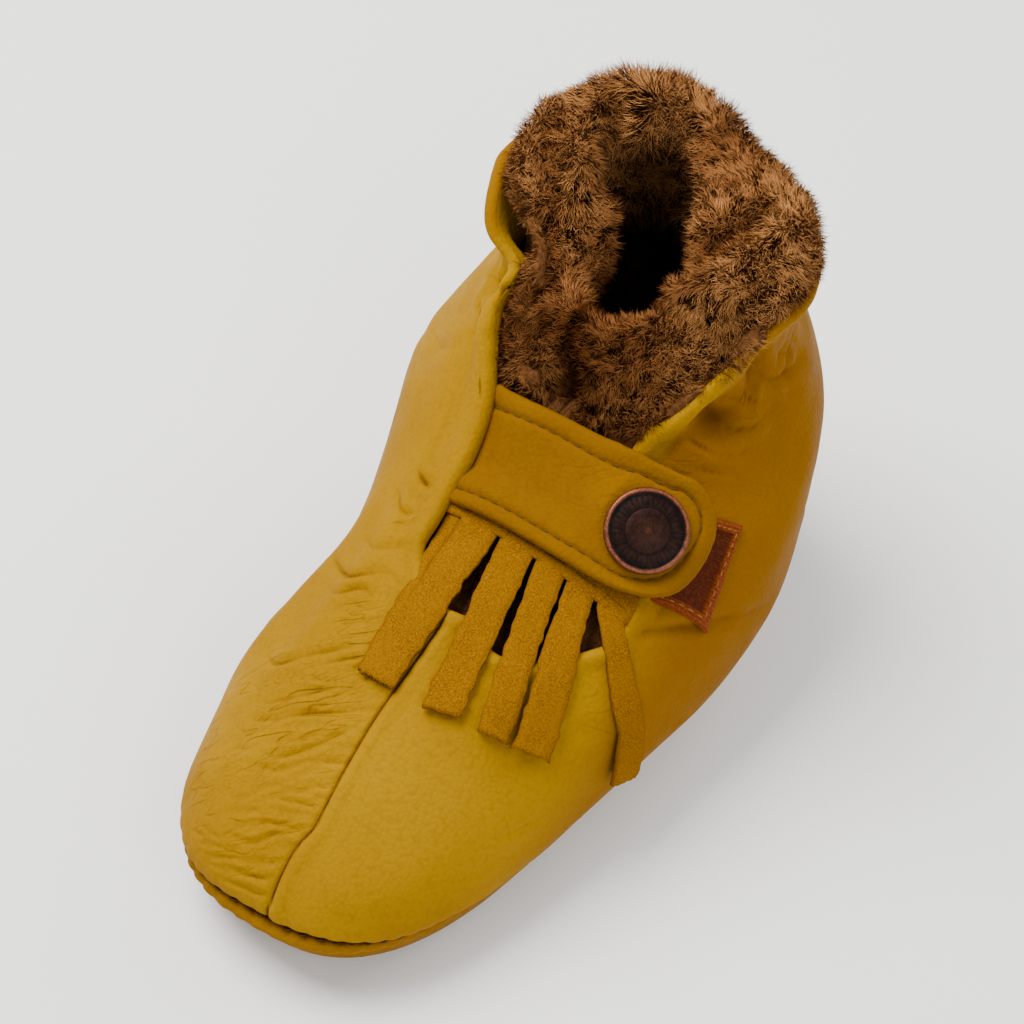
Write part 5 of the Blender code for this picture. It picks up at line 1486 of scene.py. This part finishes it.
    # and painted shade too by the strap, and in the gaps of the fringe
    beyond = p[:, 1] - (strap_middle(p[:, 0]) + strap_half(np.clip(p[:, 0], -20, STRAP_END)))
    strap_shade = (0.30 * (1 - S(beyond, 0.5, 4.5)) + 0.46 * (1 - S(beyond, 3.0, 21.0))) * (p[:, 0] < STRAP_END) * (row < ROW_INNER)
    deep = np.maximum(deep, strap_shade[:, None])
    deep = np.maximum(deep, parted_shade[:, None])
    deep = np.maximum(deep, 0.9 * in_front[:, None])
    tips, roots = tips * (1 - 0.80 * deep), roots * (1 - 0.7 * deep)
    # the painted shade by the strap and along the partings is made redder too
    red_in_shade = np.maximum(strap_shade, parted_shade)[:, None]
    tips = tips * (1 - red_in_shade * np.array((0.0, 0.16, 0.30)))
    shade = np.ones((count, 4, 4))
    shade[:, 0, :3] = roots
    shade[:, 1, :3] = shade[:, 3, :3] = roots * 0.2 + tips * 0.8
    shade[:, 2, :3] = tips
    normal = unit(n[:, None] + (co - (root + n * 0.5)[:, None]) * 0.04 + way[:, None] * 0.10 + side[:, None] * 0.08)
    order = rng.permutation(count)
    parts = 3
    for part in range(parts):
        m = order[part::parts][:98000]
        c = co[m].reshape(-1, 3)
        base = np.arange(len(m)) * 4
        quads = np.stack([base, base + 1, base + 2, base + 3], -1)
        obj = build("fleece_strands_%d" % (part + 1), c, quads, (), fleece, "shearling", recalc=False,
                    attrs={"shade": ("FLOAT_COLOR", shade[m].reshape(-1, 4))})
        obj.data.normals_split_custom_set_from_vertices(normal[m].reshape(-1, 3))


# ---- the strap --------------------------------------------------------------------------------------------------------
def strap_outline(n):
    """Points round the strap's edge in plan, from its lower corner at the throat, round the end, to the upper one."""
    lower, upper = [], []
    for x in np.concatenate([np.linspace(-20.0, STRAP_END - STRAP_CORNER, 60)[:-1],
                             STRAP_END - STRAP_CORNER * (1 - np.sin(np.linspace(0, math.pi / 2, 60)))]):
        m, h = float(strap_middle(x)), float(strap_half(x))
        lower.append((x, m - h))
        upper.append((x, m + h))
    pts = np.array(lower + upper[::-1][1:])
    # start under the rolled throat edge
    keep = pts[:, 0] > inner_edge(pts[:, 1]) - 2.6
    pts = pts[keep]
    s = np.concatenate([[0], np.cumsum(np.linalg.norm(np.diff(pts, axis=0), axis=1))])
    at = np.linspace(0, s[-1], n)
    return np.stack([np.interp(at, s, pts[:, 0]), np.interp(at, s, pts[:, 1])], -1)


STITCH_IN = 2.7


def strap_rings(n):
    edge = strap_outline(n)
    spine_x = np.clip(edge[:, 0], -30, STRAP_END - 9.6)
    spine = np.stack([spine_x, strap_middle(spine_x)], -1)
    lean = spine - edge
    reach = np.linalg.norm(lean, axis=1)
    return edge, spine, reach


def build_strap():
    n = 300
    edge, spine, reach = strap_rings(n)
    depths = [0.0, 0.12, 0.35, 0.7, 1.2, 1.7, 2.1, 2.35, 2.6, 2.8, 3.05, 3.35, 3.8, 4.6, 5.8, 7.2, 8.6, 9.8]
    tops = []
    stitch = 0.0
    for d in depths:
        f = np.minimum(d / reach, 0.995)[:, None]
        tops.append(edge + (spine - edge) * f)
    tops.append(spine)
    lo, up = [], []
    for ring in tops:
        a, b = strap_surface(ring)
        lo.append(a)
        up.append(b)
    lo, up = np.array(lo), np.array(up)
    round_off = np.array([0.5, 0.74, 0.90, 1.0, 1.03, 1.03, 1.0, 0.93, 0.84, 0.84, 0.93, 1.0, 1.03, 1.03, 1.02, 1.0, 1.0, 1.0, 1.0])
    sag = 1 + 0.0 * round_off
    thick = STRAP_T * round_off[:, None] * sag[:, None]
    xy = np.array(tops)
    ripple = 0.10 * np.sin(2 * math.pi * (xy[..., 0] * 0.9 + 0.25 * xy[..., 1]) / 3.4 + 2.0 * noise(np.concatenate([xy, 0 * xy[..., :1]], -1), 7.0, 81))
    ripple = ripple * S(np.array(depths + [10.4]), 2.8, 5.0)[:, None] * (1 - S(np.hypot(xy[..., 0] - SNAP_AT[0], xy[..., 1] - SNAP_AT[1]), 7.0, 12.0) * 0 - (1 - S(np.hypot(xy[..., 0] - SNAP_AT[0], xy[..., 1] - SNAP_AT[1]), 7.0, 11.0)))
    bulge = 0.25 * noise(np.concatenate([xy, 0 * xy[..., :1]], -1), 11.0, 83)
    top = lo + up * (thick + ripple + bulge * S(np.array(depths + [10.4]), 2.8, 6.0)[:, None] * 0.7)[..., None]
    under_rings = [0, 2, 4, 10, 14, len(depths)]
    under_round = {0: 0.5, 2: 0.14, 4: 0.0, 10: 0.0, 14: 0.0, len(depths): 0.0}
    under = np.array([lo[k] + up[k] * STRAP_T * under_round[k] for k in under_rings])
    # the first ring is shared: drop it from the underside
    co = np.concatenate([top.reshape(-1, 3), under[1:].reshape(-1, 3)])
    R = len(top)
    quads = [grid_quads(R, n)]
    base = R * n
    quads.append(grid_quads(len(under) - 1, n, False, base)[:, ::-1])
    j = np.arange(n - 1)
    quads.append(np.stack([j + 1, j, base + j, base + j + 1], -1))
    # close the throat end: the two ends of the outline share the spine
    # painted shade in the groove along the stitching
    painted_shade = np.zeros(len(co))
    prof = np.exp(-((np.array(depths + [10.4]) - STITCH_IN) / 0.28) ** 2)
    painted_shade[:base] = np.repeat(prof * 0.55, n)
    uv = np.zeros((len(co), 3))
    uv[:base, 0] = xy[..., 0].ravel() * 1.6
    uv[:base, 1] = xy[..., 1].ravel()
    wri = np.zeros(len(co))
    wri[:base] = (0.22 * S(np.array(depths + [10.4]), 2.8, 4.0)[:, None] * np.ones((1, n))).ravel()
    attrs = {"crease": ("FLOAT", painted_shade), "wrinkle": ("FLOAT", wri), "warm": ("FLOAT", np.zeros(len(co))),
             "flat": ("FLOAT_VECTOR", uv[:, [1, 0, 2]])}
    # close the two ends with caps, as the spine ring doubles back on itself
    end_a = [r * n for r in range(R)] + [base + r * n for r in range(len(under) - 2, -1, -1)]
    end_b = [r * n + n - 1 for r in range(R)] + [base + r * n + n - 1 for r in range(len(under) - 2, -1, -1)]
    tris = []
    for ids in (end_a, end_b):
        for k in range(1, len(ids) - 1):
            tris.append((ids[0], ids[k], ids[k + 1]))
    obj = build("strap_hide", co, np.concatenate(quads), tris, deer_strap, "strap_deerskin", attrs=attrs, node="strap")
    return obj


def strap_stitches():
    heap = Heap()
    n = 1200
    edge, spine, reach = strap_rings(n)
    f = (STITCH_IN / reach)[:, None]
    ring = edge + (spine - edge) * f
    s = np.concatenate([[0], np.cumsum(np.linalg.norm(np.diff(ring, axis=0), axis=1))])
    pitch, run = 2.45, 1.6
    at = 1.2
    while at + run < s[-1] - 0.6:
        u = at + run * np.linspace(0, 1, 7)
        xy = np.stack([np.interp(u, s, ring[:, 0]), np.interp(u, s, ring[:, 1])], -1)
        lo, up = strap_surface(xy)
        arch = 0.84 * STRAP_T - 0.02 + 0.10 * np.sin(math.pi * np.linspace(0, 1, 7)) ** 0.6 - 0.38 * (np.abs(np.linspace(-1, 1, 7)) > 0.9)
        heap.add(*tube(lo + up * arch[:, None], 0.125))
        at += pitch
    return heap.build("strap_stitching", thread, "strap_deerskin")


# ---- the fringe ---------------------------------------------------------------------------------------------------------
STRIPS = [
    ("inner",  -10.2,   0.7,   -5.5,  -29.9,   37.1,    1.7,  -29.8,   37.4,  0.2),
    ("second",   1.4,   8.2,    7.6,  -29.8,   36.9,   13.7,  -27.3,   36.4,  0.3),
    ("third",    8.9,  14.7,   16.8,  -27.2,   35.4,   21.7,  -25.2,   33.4,  0.5),
    ("fourth",  15.3,  20.8,   22.4,  -25.2,   33.0,   28.0,  -22.0,   29.8,  0.8),
    ("outer",   21.4,  27.0,   34.5,  -13.6,   20.0,   36.8,   -7.6,   17.5,  1.4),
]
ROOT_Y, BAND_Y, BAND_X = 2.4, 7.5, (-10.6, 27.4)


def fringe_off(x, y):
    base = -1.0 + 1.35 * float(S(x, 2.0, 13.0))
    return max(base, 0.35) if y < -8 else base + (0.4 - base) * (1 - float(S(y, -9.0, 0.0)))


def slab(outer, inner):
    """Points and quads of a closed slab from two grids, its sides walled."""
    r, c = outer.shape[:2]
    co = np.concatenate([outer.reshape(-1, 3), inner.reshape(-1, 3)])
    b = r * c
    quads = [grid_quads(r, c), grid_quads(r, c, False, b)[:, ::-1]]
    i, j = np.arange(r - 1), np.arange(c - 1)
    quads.append(np.stack([j + 1, j, b + j, b + j + 1], -1))
    k = (r - 1) * c
    quads.append(np.stack([k + j, k + j + 1, b + k + j + 1, b + k + j], -1))
    quads.append(np.stack([i * c, (i + 1) * c, b + (i + 1) * c, b + i * c], -1))
    e = c - 1
    quads.append(np.stack([(i + 1) * c + e, i * c + e, b + i * c + e, b + (i + 1) * c + e], -1))
    return co, np.concatenate(quads)


def build_fringe():
    heap = Heap()
    painted_shade = []
    rng = np.random.default_rng(13)
    for number, (_, ra, rb, *tip, lift) in enumerate(STRIPS):
        tip_a, tip_b = np.array(tip[:3]), np.array(tip[3:])
        rows, wide = 46, 15
        outer, inner, shade = [], [], []
        if number == 0:
            wide = 27
        g_steps = np.concatenate([[0, 0.03, 0.09], np.linspace(0.15, 0.85, wide - 6), [0.91, 0.97, 1]])
        wob_a, wob_b = rng.normal(size=(2, 64))
        kern = np.array([0.25, 0.5, 0.25])
        wob_a, wob_b = np.convolve(wob_a, kern, "same"), np.convolve(wob_b, kern, "same")
        end_cut = rng.normal(size=wide) * 0.14
        for i in range(rows + 1):
            f = i / rows
            # the strip starts inside the band
            root_y = ROOT_Y + 2.0 * (1 - S(f, 0.0, 0.06))
            o_row, n_row, s_row = [], [], []
            for gi, g0 in enumerate(g_steps):
                amp = 0.17 * S(f, 0.05, 0.2)
                shift = amp * ((1 - g0) ** 3 * wob_a[i + 2] + g0 ** 3 * wob_b[i + 2]) / 6.0
                g = g0 + shift
                x = ra * (1 - g) + rb * g
                ff = max(0.0, (f - 0.03) / 0.97) if i < rows else 1.0 + end_cut[gi] / 30.0
                on_last, _ = over(x, float(root_y))
                if ff <= 0.0:
                    p, up = over(x, float(root_y), fringe_off(x, float(root_y)))
                else:
                    guess = on_last * (1 - ff) + (tip_a * (1 - g) + tip_b * g) * ff
                    base_p, up = beside(guess)
                    curl = 0.9 * (g - 0.5) ** 2 * S(ff, 0.3, 1.0) * (1 if number % 2 else -0.6)
                    p = base_p + up * (fringe_off(base_p[0], base_p[1]) + lift * float(S(ff, 0.25, 1.0)) + float(curl)
                                       + 0.35 * float(S(ff, 0.1, 0.4)) * float(noise(base_p[None], 9.0, 91)[0]))
                fold_at = (0.31, 0.24)[0] * (1 - ff) + 0.17 * ff
                folded = (number == 0) * (1 - float(S(g0, fold_at - 0.012, fold_at + 0.012))) * (1 - float(S(ff, 0.3, 0.62)))
                p = p - up * 0.62 * folded
                edge_round = 1.0 - 0.22 * float((abs(g0 - 0.5) > 0.46)) - 0.1 * float((abs(g0 - 0.5) > 0.40))
                n_row.append(p + up * 0.06)
                o_row.append(p + up * FRINGE_T * edge_round)
                # painted shade along the strip's edges, and on the inner strip along its fold, where the narrow part
                # lies lower
                fold_shade = (number == 0) * math.exp(-((g0 - fold_at + 0.02) / 0.035) ** 2) * (1 - float(S(ff, 0.3, 0.62)))
                s_row.append(max(0.75 * float(np.exp(-(min(g0, 1 - g0) / 0.03) ** 2)), 0.9 * fold_shade))
            outer.append(o_row)
            inner.append(n_row)
            shade.append(s_row)
        co, quads = slab(np.array(outer), np.array(inner))
        heap.add(co, quads)
        painted_shade.append(np.concatenate([np.array(shade).ravel(), np.array(shade).ravel()]))
    # the band under the strap
    xs, ys = np.linspace(BAND_X[0], BAND_X[1], 40), np.linspace(BAND_Y, ROOT_Y, 8)
    top, low = [], []
    for y in ys:
        pts = [over(x, y, fringe_off(x, y)) for x in xs]
        low.append([p + u * 0.03 for p, u in pts])
        top.append([p + u * (FRINGE_T - 0.05) for p, u in pts])
    co, quads = slab(np.array(top), np.array(low))
    heap.add(co, quads)
    painted_shade.append(np.zeros(len(co)))
    return heap.build("fringe_suede", suede, "suede", attrs={"crease": ("FLOAT", np.concatenate(painted_shade))}, node="fringe")


# ---- the tab --------------------------------------------------------------------------------------------------------------
TAB = [(27.3, 7.5), (37.5, 13.3), (34.0, 29.6), (29.0, 25.7)]


def tab_grid(rows, colsn):
    corners = [np.array(c) for c in TAB]
    f, g = np.meshgrid(np.linspace(0, 1, rows), np.linspace(0, 1, colsn), indexing="ij")
    F, G = f[..., None], g[..., None]
    xy = (corners[0] * (1 - F) + corners[3] * F) * (1 - G) + (corners[1] * (1 - F) + corners[2] * F) * G
    return xy, f, g


def build_tab():
    rows, colsn = 44, 24
    xy, f, g = tab_grid(rows, colsn)
    p, up = over_many(xy.reshape(-1, 2), GAP)
    p, up = p.reshape(rows, colsn, 3), up.reshape(rows, colsn, 3)
    long_mm, wide_mm = 17.0, 11.0
    to_edge = np.minimum.reduce([f * long_mm, (1 - f) * long_mm, (1 - g) * wide_mm])
    hem = 1 - S(to_edge, 1.75, 1.95)
    thick = TAB_T * (0.72 + 0.55 * hem) * (0.55 + 0.45 * S(np.minimum(to_edge, g * wide_mm + 1), 0, 0.35))
    fray = 0.10 * noise(p.reshape(-1, 3), 0.9, 95).reshape(rows, colsn)
    outer = p + up * (thick + fray * 0.5)[..., None]
    inner = p + up * 0.02
    co, quads = slab(outer, inner)
    uv = np.stack([f * long_mm, g * wide_mm, 0 * f], -1).reshape(-1, 3)
    attrs = {"hem": ("FLOAT", np.tile(hem.ravel(), 2)), "flat": ("FLOAT_VECTOR", np.tile(uv, (2, 1)))}
    build("tab_tape", co, quads, (), tape, "woven_tape", attrs=attrs, node="label_tab")
    # one line of stitching inside the hem
    heap = Heap()

    def at(f, g):
        corners = [np.array(c) for c in TAB]
        xy = (corners[0] * (1 - f) + corners[3] * f) * (1 - g) + (corners[1] * (1 - f) + corners[2] * f) * g
        return over(float(xy[0]), float(xy[1]), GAP + TAB_T * 1.16)

    inset_f, inset_g = 1.25 / long_mm, 1.25 / wide_mm
    runs = [((inset_f, 0.15), (inset_f, 1 - inset_g)), ((inset_f, 1 - inset_g), (1 - inset_f, 1 - inset_g)),
            ((1 - inset_f, 1 - inset_g), (1 - inset_f, 0.15))]
    for a, b in runs:
        a, b = np.array(a), np.array(b)
        length = np.hypot((b[0] - a[0]) * long_mm, (b[1] - a[1]) * wide_mm)
        count = max(2, int(length / 1.5))
        for k in range(count):
            s0, s1 = (k + 0.14) / count, (k + 0.80) / count
            pts = []
            for s in np.linspace(s0, s1, 4):
                q, u = at(*(a + (b - a) * s))
                pts.append(q + u * (0.02 if s in (s0, s1) else 0.12))
            heap.add(*tube(np.array(pts), 0.14, 5))
    heap.build("tab_stitching", thread_rust, "woven_tape")


# ---- the snap ---------------------------------------------------------------------------------------------------------------
def build_snap():
    top = STRAP_T + GAP
    # the face: a shallow ring groove and a ring of plain radial ticks, no letters
    profile = [
        (0.0, -SOCKET_H - GAP, 0), (SOCKET_R - 0.4, -SOCKET_H - GAP, 0), (SOCKET_R, -SOCKET_H - GAP + 0.4, 0), (SOCKET_R, -GAP - 0.3, 0),
        (SOCKET_R - 0.3, -GAP, 0), (SHANK_R, -GAP, 0), (SHANK_R, top - 0.12, 0),
        (CAP_R - 0.9, top - 0.50, 0.2), (CAP_R - 0.5, top - 0.38, 0.5), (CAP_R - 0.15, top + 0.05, 0.3), (CAP_R, top + 0.7, 0.35), (CAP_R - 0.02, top + 1.0, 0.45),
        (CAP_R - 0.12, top + 1.28, 0.45), (CAP_R - 0.28, top + 1.48, 0.7), (CAP_R - 0.50, top + 1.58, 0.8), (CAP_R - 0.72, top + 1.54, 0.4), (CAP_R - 0.90, top + 1.42, 0.05),
        (CAP_R - 1.1, top + 1.34, 0.0), (CAP_R - 1.35, top + 1.36, 0.0), (CAP_R - 1.75, top + 1.47, 0.02), (CAP_R - 2.2, top + 1.58, 0.03),
        (CAP_R - 2.9, top + 1.72, 0.03), (CAP_R - 3.35, top + 1.78, 0.02), (CAP_R - 3.55, top + 1.70, 0.0), (CAP_R - 3.75, top + 1.80, 0.06), (CAP_R - 4.6, top + 1.95, 0.06),
        (CAP_R - 5.6, top + CAP_H - 0.22, 0.08), (CAP_R - 6.6, top + CAP_H - 0.08, 0.08), (0.0, top + CAP_H - 0.05, 0.08),
    ]
    around = 144
    axis = Vector(SNAP_AXIS).normalized()
    u = np.array(axis.orthogonal().normalized())
    ax = np.array(axis)
    v = np.cross(ax, u)
    turn = 2 * math.pi * np.arange(around) / around
    co, worn = [], []
    rows = profile[1:-1]
    for r, h, w in rows:
        tick = 0.0
        if CAP_R - 3.0 < r < CAP_R - 1.6 and h > top + 1:
            tick = 0.07 * (np.sin(turn * 36) > 0.35)
        rr = r * np.ones(around)
        co.append(SNAP_BASE + ax * (h + tick * np.ones(around))[:, None] + (u * np.cos(turn)[:, None] + v * np.sin(turn)[:, None]) * rr[:, None])
        worn.append(np.full(around, w) + (0.03 * (np.sin(turn * 36) > 0.35) if np.ndim(tick) else 0))
    co = np.array(co).reshape(-1, 3)
    worn = np.array(worn).ravel()
    quads = grid_quads(len(rows), around, True)
    ends = np.array([SNAP_BASE + ax * profile[0][1], SNAP_BASE + ax * profile[-1][1]])
    n = len(co)
    co = np.concatenate([co, ends])
    worn = np.concatenate([worn, [0, 0.3]])
    j = np.arange(around)
    k = (j + 1) % around
    lastr = (len(rows) - 1) * around
    tris = np.concatenate([np.stack([k, j, np.full(around, n)], -1), np.stack([lastr + j, lastr + k, np.full(around, n + 1)], -1)])
    return build("snap_cap", co, quads, tris, copper, "antique_copper", attrs={"worn": ("FLOAT", np.clip(worn, 0, 1))}, node="snap_fastener")


# ---- seam stitches ------------------------------------------------------------------------------------------------------------
def seam_stitches():
    heap = Heap()
    deg = np.linspace(-180, 180, 2881)[:-1]
    vs = table(SEAM, deg)
    p, n, up = last_frame(np.radians(deg), np.maximum(vs, 0.0))
    s = np.concatenate([[0], np.cumsum(np.linalg.norm(np.diff(p, axis=0), axis=1))])
    rng = np.random.default_rng(17)
    at = 0.6
    while at < s[-1] - 2.2:
        k = np.searchsorted(s, at)
        run = 1.5
        m = np.clip(np.searchsorted(s, at + run * np.linspace(0, 1, 5)), 0, len(p) - 1)
        depth = -0.44 + 0.16 * np.sin(math.pi * np.linspace(0, 1, 5)) - 0.25 * (np.abs(np.linspace(-1, 1, 5)) > 0.9)
        pts = p[m] + n[m] * depth[:, None] + up[m] * (0.12 * np.linspace(-1, 1, 5))[:, None]
        heap.add(*tube(pts, 0.13, 5))
        at += 2.9 + 0.25 * rng.normal()
    # dark threads across the gathers at the stitched pucker
    for t0, v0, t1, v1 in ((-61, 5.72, -66, 5.86), (-66, 5.42, -71, 5.60), (-72, 5.20, -77, 5.40), (-78, 4.98, -83, 5.20), (-60, 5.36, -66, 5.46), (-68, 5.02, -73, 5.16)):
        f = np.linspace(0, 1, 6)
        q = last(np.radians(t0 + (t1 - t0) * f), v0 + (v1 - v0) * f)
        k = ((flatP[None] - q[:, None]) ** 2).sum(-1).argmin(1)
        on = OUT[k] + (q - flatP[k])
        heap.add(*tube(on + flatN[k] * (0.02 + 0.16 * np.sin(math.pi * f))[:, None], 0.15, 5))
    return heap.build("seam_stitching", thread_dark, "deerskin")


build_upper()
build_sole()
build_footbed()
build_fur_body()
fleece_strands()
build_strap()
strap_stitches()
build_fringe()
build_tab()
build_snap()
seam_stitches()

# ---- floor, light and camera ----------------------------------------------------------------------------------------------
def plain(name, colour, roughness):
    k = Look(name)
    return k.done(colour, roughness)


def add_floor():
    mesh = bpy.data.meshes.new("floor")
    s = 3.0
    mesh.from_pydata([(-s, -s, 0), (s, -s, 0), (s, s, 0), (-s, s, 0)], [], [(0, 1, 2, 3)])
    obj = bpy.data.objects.new("floor", mesh)
    mesh.materials.append(plain("pale_floor", (0.93, 0.93, 0.925), 0.7))
    bpy.context.scene.collection.objects.link(obj)


add_floor()

world = bpy.data.worlds.new("pale_room")
world.use_nodes = True
world.node_tree.nodes["Background"].inputs["Color"].default_value = (1.0, 1.0, 1.0, 1)
world.node_tree.nodes["Background"].inputs["Strength"].default_value = 0.52
bpy.context.scene.world = world


def area_light(name, at, target, size, power, colour=(1, 1, 1)):
    data = bpy.data.lights.new(name, "AREA")
    data.shape = "RECTANGLE"
    data.size, data.size_y = size
    data.energy = power
    data.color = colour
    obj = bpy.data.objects.new(name, data)
    obj.location = at
    way = Vector(target) - Vector(at)
    obj.rotation_euler = way.to_track_quat("-Z", "Y").to_euler()
    bpy.context.scene.collection.objects.link(obj)
    return obj


MIDDLE = (0.0, 0.005, 0.035)
area_light("key", (-0.36, 0.02, 0.66), MIDDLE, (0.5, 0.5), 11.5, (1.0, 0.98, 0.95))
area_light("fill", (0.52, -0.30, 0.45), MIDDLE, (0.6, 0.5), 2.6, (1.0, 0.99, 0.97))
area_light("back", (0.25, 0.62, 0.55), MIDDLE, (0.6, 0.4), 3.0, (1.0, 0.99, 0.97))

# the view: 36 degrees round from straight ahead of the toe, looking down at 50 degrees
A0, ELEV = math.radians(36.0), math.radians(50.0)
EYE = np.array((131.6, -219.23, 373.38))
RIGHT = np.array((math.cos(A0), math.sin(A0), 0.0))
AHEAD = np.array((-math.sin(A0) * math.cos(ELEV), math.cos(A0) * math.cos(ELEV), -math.sin(ELEV)))
ABOVE = np.cross(RIGHT, AHEAD)
FOCAL = 2400.0 / 1024.0
aim = unit(AHEAD + RIGHT * ((668.0 - 512.0) / 2400.0) - ABOVE * ((570.0 - 512.0) / 2400.0))
right = unit(RIGHT - aim * (RIGHT @ aim))
above = np.cross(right, aim)
data = bpy.data.cameras.new("view")
data.sensor_width = 36.0
data.lens = 36.0 * FOCAL
data.clip_start, data.clip_end = 0.01, 20.0
cam = bpy.data.objects.new("view", data)
cam.matrix_world = Matrix([[right[k], above[k], -aim[k], EYE[k] * MM] for k in range(3)] + [[0, 0, 0, 1]])
bpy.context.scene.collection.objects.link(cam)
bpy.context.scene.camera = cam

bpy.context.view_layer.update()
